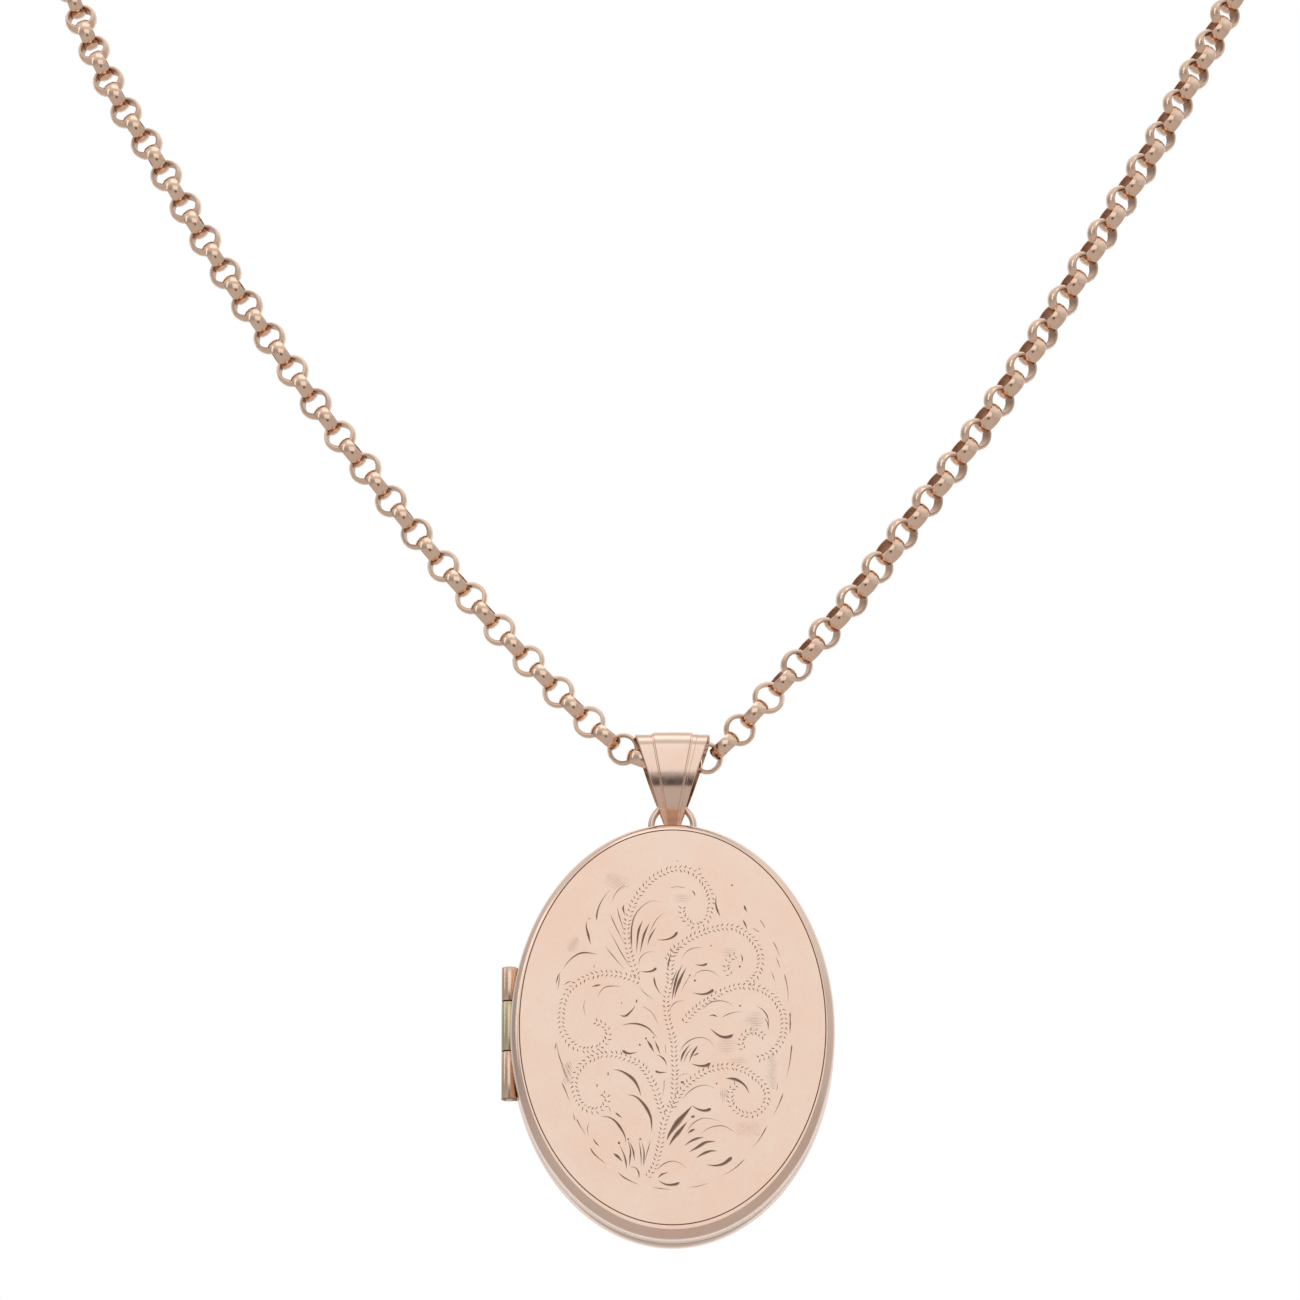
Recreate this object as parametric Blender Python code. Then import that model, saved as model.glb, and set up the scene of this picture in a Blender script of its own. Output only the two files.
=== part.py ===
"""An engraved oval locket on a belcher chain, hanging as it is worn.

Metres, +Z up. The origin is the nape of the neck, where the clasp lies. The chain runs forward
and down on both sides, and the locket hangs from it, facing -Y.
"""

import math

import bmesh
import bpy
from mathutils import Vector

MM = 0.001

# Gaps: between pieces that are seated in each other, and between pieces that move.
FIT_GAP = 0.06 * MM
RUN_GAP = 0.08 * MM

# Locket body: two shallow oval shells with flat faces and rounded edges.
LOCKET_HEIGHT = 39.5 * MM
LOCKET_WIDTH = 30.2 * MM
HALF_DEPTH = 3.3 * MM
SHELL_WALL = 0.5 * MM
FACE_INSET = 0.72 * MM
EDGE_TURN = math.radians(60)
SEAM_GAP = 0.1 * MM
OVAL_STEPS = 64
EDGE_STEPS = 5

# What lies inside each half, from its floor out: picture card, window, frame, closing flange.
CARD_THICKNESS = 0.3 * MM
WINDOW_THICKNESS = 0.4 * MM
FRAME_DEPTH = 0.7 * MM
FRAME_WIDTH = 1.7 * MM
FRAME_BEVEL = 0.25 * MM
FLANGE_WALL = 0.35 * MM
FLANGE_CLEAR = 0.42 * MM

# Side hinge: knuckles let into the rims, on a riveted pin.
KNUCKLE_RADIUS = 0.75 * MM
KNUCKLE_BORE = 0.45 * MM
PIN_RADIUS = 0.4 * MM
LOWER_KNUCKLE = 4.8 * MM
MIDDLE_KNUCKLE = 4.7 * MM
UPPER_KNUCKLE = 3.5 * MM
HINGE_OUTSIDE_RIM = 0.1 * MM
HINGE_RISE = 0.2 * MM
HINGE_PLATE = 0.6 * MM
ROUND_STEPS = 20

# Wire loop on the top edge of the back half.
LOOP_RADIUS = 1.97 * MM
LOOP_WIRE = 0.32 * MM
LOOP_RISE = 2.5 * MM
LOOP_BEHIND_SEAM = 0.45 * MM

# Tapered bail, folded over the chain and closed round the loop.
BAIL_AXIS = Vector((0, -29, -159)) * MM
BAIL_REACH = 4.4 * MM
BAIL_INSIDE = 2.2 * MM
BAIL_WALL = 0.4 * MM
BAIL_TOP_WIDTH = 7.4 * MM
BAIL_TIP_WIDTH = 1.4 * MM
BAIL_EYE = 0.24 * MM
BAIL_EYE_DROP = 1.6 * MM
RIB_HEIGHT = 0.18 * MM
RIB_TOP_WIDTH = 3.6 * MM
RIB_FOOT_WIDTH = 1.4 * MM
RIB_FOOT_DROP = 0.65 * MM
RIB_EDGE = 0.02 * MM
LOOP_PLAY = 0.25 * MM

# Belcher chain, as a plain tube of its links' outer width.
LINK_WIDTH = 2.9 * MM
ROUTE_STEPS = 2

# Bolt ring clasp: a hollow ring with a sprung bolt inside, and the rings that join it.
CLASP_RADIUS = 2.3 * MM
CLASP_TUBE = 0.75 * MM
CLASP_BORE = 0.5 * MM
MOUTH_ANGLE = 35
BOLT_RADIUS = 0.42 * MM
BOLT_TIP_ANGLE = -40
BOLT_TAIL_ANGLE = 110
BOLT_TRAVEL = 60
THUMB_ANGLE = 75
THUMB_SPREAD = 4
THUMB_REACH = 1.3 * MM
THUMB_THICKNESS = 0.36 * MM
SPRING_WIRE = 0.06 * MM
SPRING_RADIUS = 0.3 * MM
SPRING_END_ANGLE = 235
SPRING_TURNS = 12
SPRING_POINTS = 6
END_LOOP_RADIUS = 0.8 * MM
END_LOOP_WIRE = 0.3 * MM
JUMP_RING_RADIUS = 1.3 * MM
CATCH_RING_RADIUS = 1.5 * MM
RING_WIRE = 0.35 * MM
RING_STEPS = 28
WIRE_SIDES = 10

# The chain's route from one end of the clasp to the other, in millimetres from the nape.
CHAIN_ROUTE_MM = (
    (-7.6, 0.0, 0.0),
    (-14.0, 0.0, -0.1),
    (-29.0, -0.1, -2.7),
    (-43.0, -0.7, -10.2),
    (-53.0, -2.1, -21.2),
    (-59.0, -4.3, -35.0),
    (-61.6, -7.2, -50.0),
    (-61.2, -10.7, -65.0),
    (-58.6, -13.9, -77.5),
    (-54.2, -18.2, -89.0),
    (-49.9, -20.4, -96.6),
    (-45.8, -22.4, -104.1),
    (-41.6, -24.0, -111.4),
    (-37.1, -25.4, -118.4),
    (-32.6, -26.5, -125.2),
    (-27.9, -27.4, -131.6),
    (-23.1, -28.0, -138.0),
    (-18.1, -28.5, -144.1),
    (-13.0, -28.8, -149.9),
    (-7.7, -29.0, -155.4),
    (-4.2, -28.9, -158.2),
    (-2.0, -29.0, -159.2),
    (0.0, -29.0, -159.5),
    (2.0, -29.0, -159.2),
    (4.2, -28.9, -158.2),
    (7.0, -29.0, -155.3),
    (12.0, -28.8, -149.4),
    (16.9, -28.5, -143.4),
    (21.5, -27.9, -137.0),
    (26.1, -27.2, -130.5),
    (30.6, -26.3, -123.8),
    (34.9, -25.1, -116.8),
    (39.0, -23.6, -109.5),
    (43.0, -21.9, -102.1),
    (47.2, -19.9, -94.5),
    (49.6, -18.4, -89.5),
    (54.6, -14.0, -78.5),
    (58.4, -10.7, -65.4),
    (59.2, -7.2, -50.2),
    (57.0, -4.3, -35.2),
    (51.2, -2.1, -21.3),
    (41.4, -0.7, -10.3),
    (27.6, -0.1, -2.7),
    (12.5, 0.0, -0.1),
    (5.2, 0.0, 0.0),
)

# Places that follow from the sizes above.
SEAM_Y = BAIL_AXIS.y - LOOP_BEHIND_SEAM
LOOP_TOP_Z = BAIL_AXIS.z - BAIL_REACH
LOCKET_CENTRE = Vector((0, SEAM_Y, LOOP_TOP_Z - LOOP_RISE - LOCKET_HEIGHT / 2))
SWING_AXIS = Vector((0, BAIL_AXIS.y, LOOP_TOP_Z - LOOP_PLAY))
HINGE_AXIS = Vector((-LOCKET_WIDTH / 2 - HINGE_OUTSIDE_RIM, SEAM_Y, LOCKET_CENTRE.z + HINGE_RISE))
HINGE_LENGTH = LOWER_KNUCKLE + MIDDLE_KNUCKLE + UPPER_KNUCKLE + 2 * RUN_GAP
EDGE_RADIUS = FACE_INSET / (1 - math.cos(EDGE_TURN))
EDGE_START = HALF_DEPTH - EDGE_RADIUS * math.sin(EDGE_TURN)
FLOOR_DEPTH = HALF_DEPTH - SHELL_WALL
CARD_DEPTH = FLOOR_DEPTH - FIT_GAP - CARD_THICKNESS
WINDOW_DEPTH = CARD_DEPTH - FIT_GAP - WINDOW_THICKNESS
FRAME_NEAR = WINDOW_DEPTH - FIT_GAP - FRAME_DEPTH
FLANGE_PROUD = FRAME_NEAR - FLANGE_CLEAR

ROSE_GOLD = (0.83, 0.60, 0.47)
YELLOW_GOLD = (0.72, 0.66, 0.46)
CHAIN_GOLD = (0.80, 0.56, 0.40)
STEEL = (0.62, 0.62, 0.62)
CLEAR = (0.9, 0.92, 0.92)
CARD = (0.86, 0.83, 0.76)


def clear_scene():
    for obj in list(bpy.data.objects):
        bpy.data.objects.remove(obj, do_unlink=True)


def material(name, colour, roughness, metallic):
    """A Principled material for one piece."""
    made = bpy.data.materials.new(name)
    made.use_nodes = True
    shader = made.node_tree.nodes["Principled BSDF"]
    shader.inputs["Base Color"].default_value = (*colour, 1)
    shader.inputs["Roughness"].default_value = roughness
    shader.inputs["Metallic"].default_value = metallic
    return made


def pivot(name, place):
    """An empty on a joint's axis, which the joint's pieces are parented to."""
    empty = bpy.data.objects.new(name, None)
    empty.location = place
    bpy.context.collection.objects.link(empty)
    return empty


def add_piece(name, data, place, parent, colour, roughness=0.2, metallic=1.0):
    """An object at a place in the world, hung on a pivot where it has one."""
    piece = bpy.data.objects.new(name, data)
    piece.location = place - parent.location if parent else place
    piece.parent = parent
    bpy.context.collection.objects.link(piece)
    data.materials.append(material(name, colour, roughness, metallic))
    return piece


def add_cutter(name, mesh, place, parent=None):
    """A helper for a Boolean, which isn't a piece itself."""
    cutter = bpy.data.objects.new(name, mesh)
    cutter.location = place - parent.location if parent else place
    cutter.parent = parent
    cutter.hide_render = True
    cutter.display_type = "WIRE"
    bpy.context.collection.objects.link(cutter)
    return cutter


def combine(piece, other, operation):
    modifier = piece.modifiers.new(other.name, "BOOLEAN")
    modifier.operation = operation
    modifier.object = other


def skin(name, sections, closed, crease=math.radians(35)):
    """A solid through like sections, joined end to end or with its two ends filled."""
    mesh = bmesh.new()
    rows = [[mesh.verts.new(point) for point in section] for section in sections]
    following = rows[1:] + rows[:1] if closed else rows[1:]
    for row, after in zip(rows, following):
        for i in range(len(row)):
            mesh.faces.new((row[i], row[i - 1], after[i - 1], after[i]))
    if not closed:
        mesh.faces.new(rows[0])
        mesh.faces.new(rows[-1])
    bmesh.ops.recalc_face_normals(mesh, faces=mesh.faces)
    data = bpy.data.meshes.new(name)
    mesh.to_mesh(data)
    mesh.free()
    data.shade_smooth()
    data.set_sharp_from_angle(angle=crease)
    return data


def oval(inset, y):
    """A level line round the locket, this far in from its outline and this far from the seam."""
    points = []
    for step in range(OVAL_STEPS):
        turn = math.tau * step / OVAL_STEPS
        across = (LOCKET_WIDTH / 2 - inset) * math.cos(turn)
        up = (LOCKET_HEIGHT / 2 - inset) * math.sin(turn)
        points.append(Vector((across, y, up)))
    return points


def circle(radius, steps, along=0.0):
    """Points round the Z axis at one height."""
    turns = [math.tau * step / steps for step in range(steps)]
    return [Vector((radius * math.cos(turn), radius * math.sin(turn), along)) for turn in turns]


def rod(name, radius, length, steps=ROUND_STEPS):
    """A round bar centred on the Z axis."""
    return skin(name, [circle(radius, steps, -length / 2), circle(radius, steps, length / 2)], False)


def on_ring(angle, radius, sideways=0.0):
    """A point on a ring that stands in the XZ plane, at an angle in degrees from +X to +Z."""
    turn = math.radians(angle)
    return Vector((radius * math.cos(turn), sideways, radius * math.sin(turn)))


def wire_section(angle, ring_radius, wire_radius, sides=WIRE_SIDES):
    """The round section of a ring's wire at an angle."""
    points = []
    for side in range(sides):
        turn = math.tau * side / sides
        radius = ring_radius + wire_radius * math.cos(turn)
        points.append(on_ring(angle, radius, wire_radius * math.sin(turn)))
    return points


def angles(start, end, steps):
    return [start + (end - start) * step / steps for step in range(steps + 1)]


def wire_ring(name, ring_radius, wire_radius, flat=False):
    """A closed ring of round wire, standing in the XZ plane or lying flat."""
    turns = angles(0, 360, RING_STEPS)[:-1]
    sections = [wire_section(turn, ring_radius, wire_radius) for turn in turns]
    if flat:
        sections = [[Vector((p.x, p.z, p.y)) for p in section] for section in sections]
    return skin(name, sections, True)


def shell_sections(side):
    """The lines that bound one half, from its floor over the rim to its face."""
    inner_radius = EDGE_RADIUS - SHELL_WALL
    inner_turn = math.asin((FLOOR_DEPTH - EDGE_START) / inner_radius)
    lines = []
    for step in range(EDGE_STEPS, -1, -1):
        turn = inner_turn * step / EDGE_STEPS
        inset = EDGE_RADIUS - inner_radius * math.cos(turn)
        lines.append((inset, EDGE_START + inner_radius * math.sin(turn)))
    lines.append((SHELL_WALL, SEAM_GAP / 2))
    lines.append((0, SEAM_GAP / 2))
    for step in range(EDGE_STEPS + 1):
        turn = EDGE_TURN * step / EDGE_STEPS
        inset = EDGE_RADIUS * (1 - math.cos(turn))
        lines.append((inset, EDGE_START + EDGE_RADIUS * math.sin(turn)))
    return [oval(inset, side * depth) for inset, depth in lines]


def add_shells(cover, back):
    """The front and back halves, each grooved for the hinge knuckles."""
    groove = rod("hinge_groove", KNUCKLE_RADIUS + RUN_GAP, HINGE_LENGTH + 2 * RUN_GAP)
    cutter = add_cutter("hinge_groove", groove, HINGE_AXIS)
    for name, side, parent in (("front_shell", -1, cover), ("back_shell", 1, back)):
        mesh = skin(name, shell_sections(side), False)
        combine(add_piece(name, mesh, LOCKET_CENTRE, parent, ROSE_GOLD), cutter, "DIFFERENCE")
    return cutter


def add_flange(back, groove):
    """The closing flange, which stands out of the back half and grips inside the front rim."""
    outer = SHELL_WALL + FIT_GAP
    inner = outer + FLANGE_WALL
    seat = FRAME_NEAR - FIT_GAP
    corners = ((outer, -FLANGE_PROUD), (inner, -FLANGE_PROUD), (inner, seat), (outer, seat))
    mesh = skin("closing_flange", [oval(inset, y) for inset, y in corners], True)
    combine(add_piece("closing_flange", mesh, LOCKET_CENTRE, back, ROSE_GOLD), groove, "DIFFERENCE")


def floor_inset():
    """How far in from the outline the flat floor of a shell begins."""
    inner_radius = EDGE_RADIUS - SHELL_WALL
    turn = math.asin((FLOOR_DEPTH - EDGE_START) / inner_radius)
    return EDGE_RADIUS - inner_radius * math.cos(turn)


def add_picture_fittings(half, side, parent):
    """The card, the clear window and the frame that holds them in one half."""
    plate_inset = floor_inset() + FIT_GAP
    plates = (
        ("photo_card", CARD_DEPTH, CARD_THICKNESS, CARD, 0.7),
        ("window", WINDOW_DEPTH, WINDOW_THICKNESS, CLEAR, 0.05),
    )
    for piece, depth, thickness, colour, roughness in plates:
        name = f"{half}_{piece}"
        faces = [oval(plate_inset, side * depth), oval(plate_inset, side * (depth + thickness))]
        add_piece(name, skin(name, faces, False), LOCKET_CENTRE, parent, colour, roughness, 0.0)
    outer = SHELL_WALL + FIT_GAP
    inner = outer + FRAME_WIDTH
    near = FRAME_NEAR
    far = FRAME_NEAR + FRAME_DEPTH
    corners = (
        (outer, near + FRAME_BEVEL),
        (outer + FRAME_BEVEL, near),
        (inner - FRAME_BEVEL, near),
        (inner, near + FRAME_BEVEL),
        (inner, far),
        (outer, far),
    )
    name = f"{half}_photo_frame"
    mesh = skin(name, [oval(inset, side * depth) for inset, depth in corners], True)
    add_piece(name, mesh, LOCKET_CENTRE, parent, ROSE_GOLD)


def rim_distance(height):
    """How far the locket's outline lies from the hinge axis, at a height from its centre."""
    share = height / (LOCKET_HEIGHT / 2)
    outline = -LOCKET_WIDTH / 2 * math.sqrt(1 - share * share)
    return outline - HINGE_AXIS.x


def hinge_plate(name, low, high, side):
    """The wedge that joins a knuckle to the curved rim, between two heights on the hinge."""
    start = SEAM_GAP / 2
    sections = []
    for step in range(EDGE_STEPS + 1):
        z = low + (high - low) * step / EDGE_STEPS
        reach = rim_distance(z + HINGE_RISE) - FIT_GAP
        corners = ((0, start), (reach, start), (reach, HINGE_PLATE), (0, HINGE_PLATE))
        sections.append([Vector((x, side * y, z)) for x, y in corners])
    return skin(name, sections, False)


def add_hinge(cover, back):
    """Three knuckles in a row, the outer two on the back half, and the pin through them."""
    low = -HINGE_LENGTH / 2
    bore = rod("knuckle_bore", KNUCKLE_BORE, HINGE_LENGTH * 2)
    for name, length, parent, colour, has_plate in (
        ("hinge_knuckle_lower", LOWER_KNUCKLE, back, ROSE_GOLD, True),
        ("hinge_knuckle_middle", MIDDLE_KNUCKLE, cover, YELLOW_GOLD, False),
        ("hinge_knuckle_upper", UPPER_KNUCKLE, back, ROSE_GOLD, True),
    ):
        middle = Vector((0, 0, low + length / 2))
        tube = rod(name, KNUCKLE_RADIUS, length)
        knuckle = add_piece(name, tube, HINGE_AXIS + middle, parent, colour)
        if has_plate:
            plate = hinge_plate(f"{name}_plate", low, low + length, 1)
            combine(knuckle, add_cutter(f"{name}_plate", plate, HINGE_AXIS), "UNION")
        combine(knuckle, add_cutter(f"{name}_bore", bore, HINGE_AXIS), "DIFFERENCE")
        low += length + RUN_GAP
    pin = rod("hinge_pin", PIN_RADIUS, HINGE_LENGTH)
    add_piece("hinge_pin", pin, HINGE_AXIS, back, YELLOW_GOLD)


def tube(name, points, radius, sides_setting=2):
    """Wire or chain along points, as a curve with filled ends."""
    data = bpy.data.curves.new(name, "CURVE")
    data.dimensions = "3D"
    data.bevel_depth = radius
    data.bevel_resolution = sides_setting
    data.use_fill_caps = True
    spline = data.splines.new("POLY")
    spline.points.add(len(points) - 1)
    for spot, point in zip(spline.points, points):
        spot.co = (*point, 1)
    return data


def add_top_loop(back):
    """The wire staple that stands on the back half's top edge."""
    centre = Vector((0, LOOP_BEHIND_SEAM, LOCKET_HEIGHT / 2 + LOOP_RISE - LOOP_RADIUS))
    outer_leg = (LOOP_RADIUS - LOOP_WIRE) / (LOCKET_WIDTH / 2)
    foot = LOCKET_HEIGHT / 2 * math.sqrt(1 - outer_leg * outer_leg) + FIT_GAP
    arch = [centre + on_ring(turn, LOOP_RADIUS) for turn in angles(0, 180, ROUND_STEPS)]
    right_foot = Vector((LOOP_RADIUS, LOOP_BEHIND_SEAM, foot))
    left_foot = Vector((-LOOP_RADIUS, LOOP_BEHIND_SEAM, foot))
    wire = tube("top_loop", [right_foot, *arch, left_foot], LOOP_WIRE)
    add_piece("top_loop", wire, LOCKET_CENTRE, back, ROSE_GOLD)


def teardrop(top_radius, eye_radius):
    """The bail's outline from the side: round the chain, down both leaves and round its eye."""
    drop = BAIL_REACH + BAIL_EYE_DROP
    lean = math.degrees(math.asin((top_radius - eye_radius) / drop))
    outline = []
    for turn in angles(-lean, 180 + lean, ROUND_STEPS):
        outline.append(on_ring(turn, top_radius))
    for turn in angles(180 + lean, 360 - lean, ROUND_STEPS // 2):
        outline.append(on_ring(turn, eye_radius) - Vector((0, 0, drop)))
    joined = []
    for point, after in zip(outline, outline[1:] + outline[:1]):
        joined.append(point)
        if (after - point).length > top_radius:
            joined.extend(point.lerp(after, share) for share in (0.2, 0.4, 0.6, 0.8))
    return [Vector((0, point.x, point.z)) for point in joined]


def taper(z, high, high_width, low, low_width):
    """Half of a width that changes evenly from one height to another."""
    share = min(max((z - low) / (high - low), 0), 1)
    return (low_width + (high_width - low_width) * share) / 2


def add_bail(parent):
    """A folded strip, wide over the chain and narrow at its foot, with a raised middle."""
    top = BAIL_INSIDE + BAIL_WALL
    foot = -BAIL_REACH - BAIL_EYE_DROP - BAIL_EYE - BAIL_WALL
    rib_foot = -BAIL_REACH - RIB_FOOT_DROP
    inside = teardrop(BAIL_INSIDE, BAIL_EYE)
    outside = teardrop(top, BAIL_EYE + BAIL_WALL)
    raised = teardrop(top + RIB_HEIGHT, BAIL_EYE + BAIL_WALL + RIB_HEIGHT)
    sections = []
    for inner, outer, crest in zip(inside, outside, raised):
        half = taper(outer.z, top, BAIL_TOP_WIDTH, foot, BAIL_TIP_WIDTH)
        rib = taper(outer.z, top, RIB_TOP_WIDTH, rib_foot, RIB_FOOT_WIDTH)
        if outer.z < rib_foot:
            crest = outer.lerp(crest, RIB_EDGE / RIB_HEIGHT)
        side_points = [(inner, -half), (inner, half), (outer, half), (outer, rib)]
        side_points += [(crest, rib - RIB_EDGE), (crest, RIB_EDGE - rib)]
        side_points += [(outer, -rib), (outer, -half)]
        sections.append([Vector((across, point.y, point.z)) for point, across in side_points])
    add_piece("bail", skin("bail", sections, True), BAIL_AXIS, parent, ROSE_GOLD)


def smooth_route(points, steps):
    """Points on a smooth curve through the route's own points, a few for each stretch."""
    padded = [2 * points[0] - points[1], *points, 2 * points[-1] - points[-2]]
    route = []
    for before, start, end, after in zip(padded, padded[1:], padded[2:], padded[3:]):
        for step in range(steps):
            t = step / steps
            bend = 2 * before - 5 * start + 4 * end - after
            twist = -before + 3 * start - 3 * end + after
            route.append((2 * start + (end - before) * t + bend * t**2 + twist * t**3) / 2)
    return [*route, points[-1]]


def add_chain():
    """The chain's whole route, from the clasp through the bail and back."""
    route = [Vector(point) * MM for point in CHAIN_ROUTE_MM]
    line = tube("belcher_chain", smooth_route(route, ROUTE_STEPS), LINK_WIDTH / 2)
    add_piece("belcher_chain", line, Vector((0, 0, 0)), None, CHAIN_GOLD)


def band(name, start, end, inner, outer, thickness, steps):
    """A flat curved bar round the clasp's centre."""
    sections = []
    for turn in angles(start, end, steps):
        corners = ((inner, -1), (outer, -1), (outer, 1), (inner, 1))
        sections.append([on_ring(turn, radius, side * thickness / 2) for radius, side in corners])
    return skin(name, sections, False)


def add_clasp_body():
    """The hollow ring, open at its mouth and slotted on its outer side for the thumb piece."""
    turns = angles(MOUTH_ANGLE, 360 - MOUTH_ANGLE, RING_STEPS)
    outer = [wire_section(turn, CLASP_RADIUS, CLASP_TUBE) for turn in turns]
    inner = [wire_section(turn, CLASP_RADIUS, CLASP_BORE) for turn in turns]
    lengthways = []
    for side in range(WIRE_SIDES):
        outside = [section[side] for section in outer]
        inside = [section[side] for section in reversed(inner)]
        lengthways.append(outside + inside)
    body = add_piece("clasp_body", skin("clasp_body", lengthways, True), Vector(), None, ROSE_GOLD)
    slot_start = THUMB_ANGLE - THUMB_SPREAD * 2
    slot_end = THUMB_ANGLE + THUMB_SPREAD * 2 + BOLT_TRAVEL
    slot = band(
        "thumb_slot",
        slot_start,
        slot_end,
        CLASP_RADIUS,
        CLASP_RADIUS + THUMB_REACH,
        THUMB_THICKNESS + 2 * RUN_GAP,
        ROUND_STEPS,
    )
    combine(body, add_cutter("thumb_slot", slot, Vector()), "DIFFERENCE")


def add_clasp_bolt(parent):
    """The curved bolt that closes the mouth, with the thumb piece that draws it back."""
    turns = angles(BOLT_TIP_ANGLE, BOLT_TAIL_ANGLE, ROUND_STEPS)
    sections = [wire_section(turn, CLASP_RADIUS, BOLT_RADIUS) for turn in turns]
    bolt = add_piece("clasp_bolt", skin("clasp_bolt", sections, False), Vector(), parent, ROSE_GOLD)
    thumb = band(
        "thumb_piece",
        THUMB_ANGLE - THUMB_SPREAD,
        THUMB_ANGLE + THUMB_SPREAD,
        CLASP_RADIUS,
        CLASP_RADIUS + THUMB_REACH,
        THUMB_THICKNESS,
        2,
    )
    combine(bolt, add_cutter("thumb_piece", thumb, Vector(), parent), "UNION")


def add_clasp_spring():
    """The coil behind the bolt, bent to the ring's curve."""
    start = BOLT_TAIL_ANGLE + 2
    points = []
    for turn in angles(0, SPRING_TURNS, SPRING_TURNS * SPRING_POINTS):
        angle = start + (SPRING_END_ANGLE - start) * turn / SPRING_TURNS
        across = SPRING_RADIUS * math.cos(math.tau * turn)
        sideways = SPRING_RADIUS * math.sin(math.tau * turn)
        points.append(on_ring(angle, CLASP_RADIUS + across, sideways))
    wire = tube("clasp_spring", points, SPRING_WIRE, 0)
    add_piece("clasp_spring", wire, Vector(), None, STEEL)


def add_clasp_rings():
    """The clasp's end loop and jump ring on one side, and the ring it catches on the other."""
    loop_x = -(CLASP_RADIUS + CLASP_TUBE + FIT_GAP + END_LOOP_WIRE + END_LOOP_RADIUS)
    loop = wire_ring("clasp_end_loop", END_LOOP_RADIUS, END_LOOP_WIRE)
    add_piece("clasp_end_loop", loop, Vector((loop_x, 0, 0)), None, ROSE_GOLD)
    loop_wire_x = loop_x - END_LOOP_RADIUS
    jump_x = loop_wire_x + END_LOOP_WIRE + RUN_GAP + RING_WIRE - JUMP_RING_RADIUS
    jump = wire_ring("chain_jump_ring", JUMP_RING_RADIUS, RING_WIRE, flat=True)
    add_piece("chain_jump_ring", jump, Vector((jump_x, 0, 0)), None, ROSE_GOLD)
    catch_x = CLASP_RADIUS - BOLT_RADIUS - RUN_GAP - RING_WIRE + CATCH_RING_RADIUS
    catch = wire_ring("catch_ring", CATCH_RING_RADIUS, RING_WIRE, flat=True)
    add_piece("catch_ring", catch, Vector((catch_x, 0, 0)), None, ROSE_GOLD)


def build():
    clear_scene()
    bail_pivot = pivot("bail_pivot", BAIL_AXIS)
    locket_pivot = pivot("locket_pivot", SWING_AXIS)
    cover_pivot = pivot("cover_pivot", HINGE_AXIS)
    bolt_pivot = pivot("bolt_pivot", Vector((0, 0, 0)))
    groove = add_shells(cover_pivot, locket_pivot)
    add_flange(locket_pivot, groove)
    add_picture_fittings("front", -1, cover_pivot)
    add_picture_fittings("back", 1, locket_pivot)
    add_hinge(cover_pivot, locket_pivot)
    add_top_loop(locket_pivot)
    add_bail(bail_pivot)
    add_chain()
    add_clasp_body()
    add_clasp_bolt(bolt_pivot)
    add_clasp_spring()
    add_clasp_rings()


build()
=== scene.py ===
"""The engraved rose gold locket on its belcher chain, worn length, hanging in a white room.

Metres, +Z up. The nape of the neck is the origin, where the clasp lies, and the locket faces -Y.
"""

import math
import random

import bmesh
import bpy
from mathutils import Matrix, Vector
from mathutils.geometry import delaunay_2d_cdt


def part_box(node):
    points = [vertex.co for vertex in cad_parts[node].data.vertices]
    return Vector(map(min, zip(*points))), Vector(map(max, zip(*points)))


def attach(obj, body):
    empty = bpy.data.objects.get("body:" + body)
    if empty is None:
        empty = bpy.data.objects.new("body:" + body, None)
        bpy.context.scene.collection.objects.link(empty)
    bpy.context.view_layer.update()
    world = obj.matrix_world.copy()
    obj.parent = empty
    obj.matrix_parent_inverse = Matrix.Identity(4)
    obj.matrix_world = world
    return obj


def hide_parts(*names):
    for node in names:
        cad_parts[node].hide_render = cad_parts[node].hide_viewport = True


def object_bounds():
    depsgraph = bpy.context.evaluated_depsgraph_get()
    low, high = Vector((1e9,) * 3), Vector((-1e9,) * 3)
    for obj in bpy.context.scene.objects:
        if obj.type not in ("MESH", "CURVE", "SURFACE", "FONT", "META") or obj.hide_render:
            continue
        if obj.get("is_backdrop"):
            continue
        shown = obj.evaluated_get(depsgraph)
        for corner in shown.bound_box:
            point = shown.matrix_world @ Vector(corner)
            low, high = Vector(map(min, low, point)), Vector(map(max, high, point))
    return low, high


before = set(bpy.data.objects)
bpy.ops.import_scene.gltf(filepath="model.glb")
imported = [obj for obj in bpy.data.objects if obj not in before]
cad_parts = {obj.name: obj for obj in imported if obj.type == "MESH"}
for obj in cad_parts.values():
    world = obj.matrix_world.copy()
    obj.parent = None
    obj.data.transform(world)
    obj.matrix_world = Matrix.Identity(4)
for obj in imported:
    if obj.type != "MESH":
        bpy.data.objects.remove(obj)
cad_low, cad_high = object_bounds()
MM = 0.001

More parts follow.
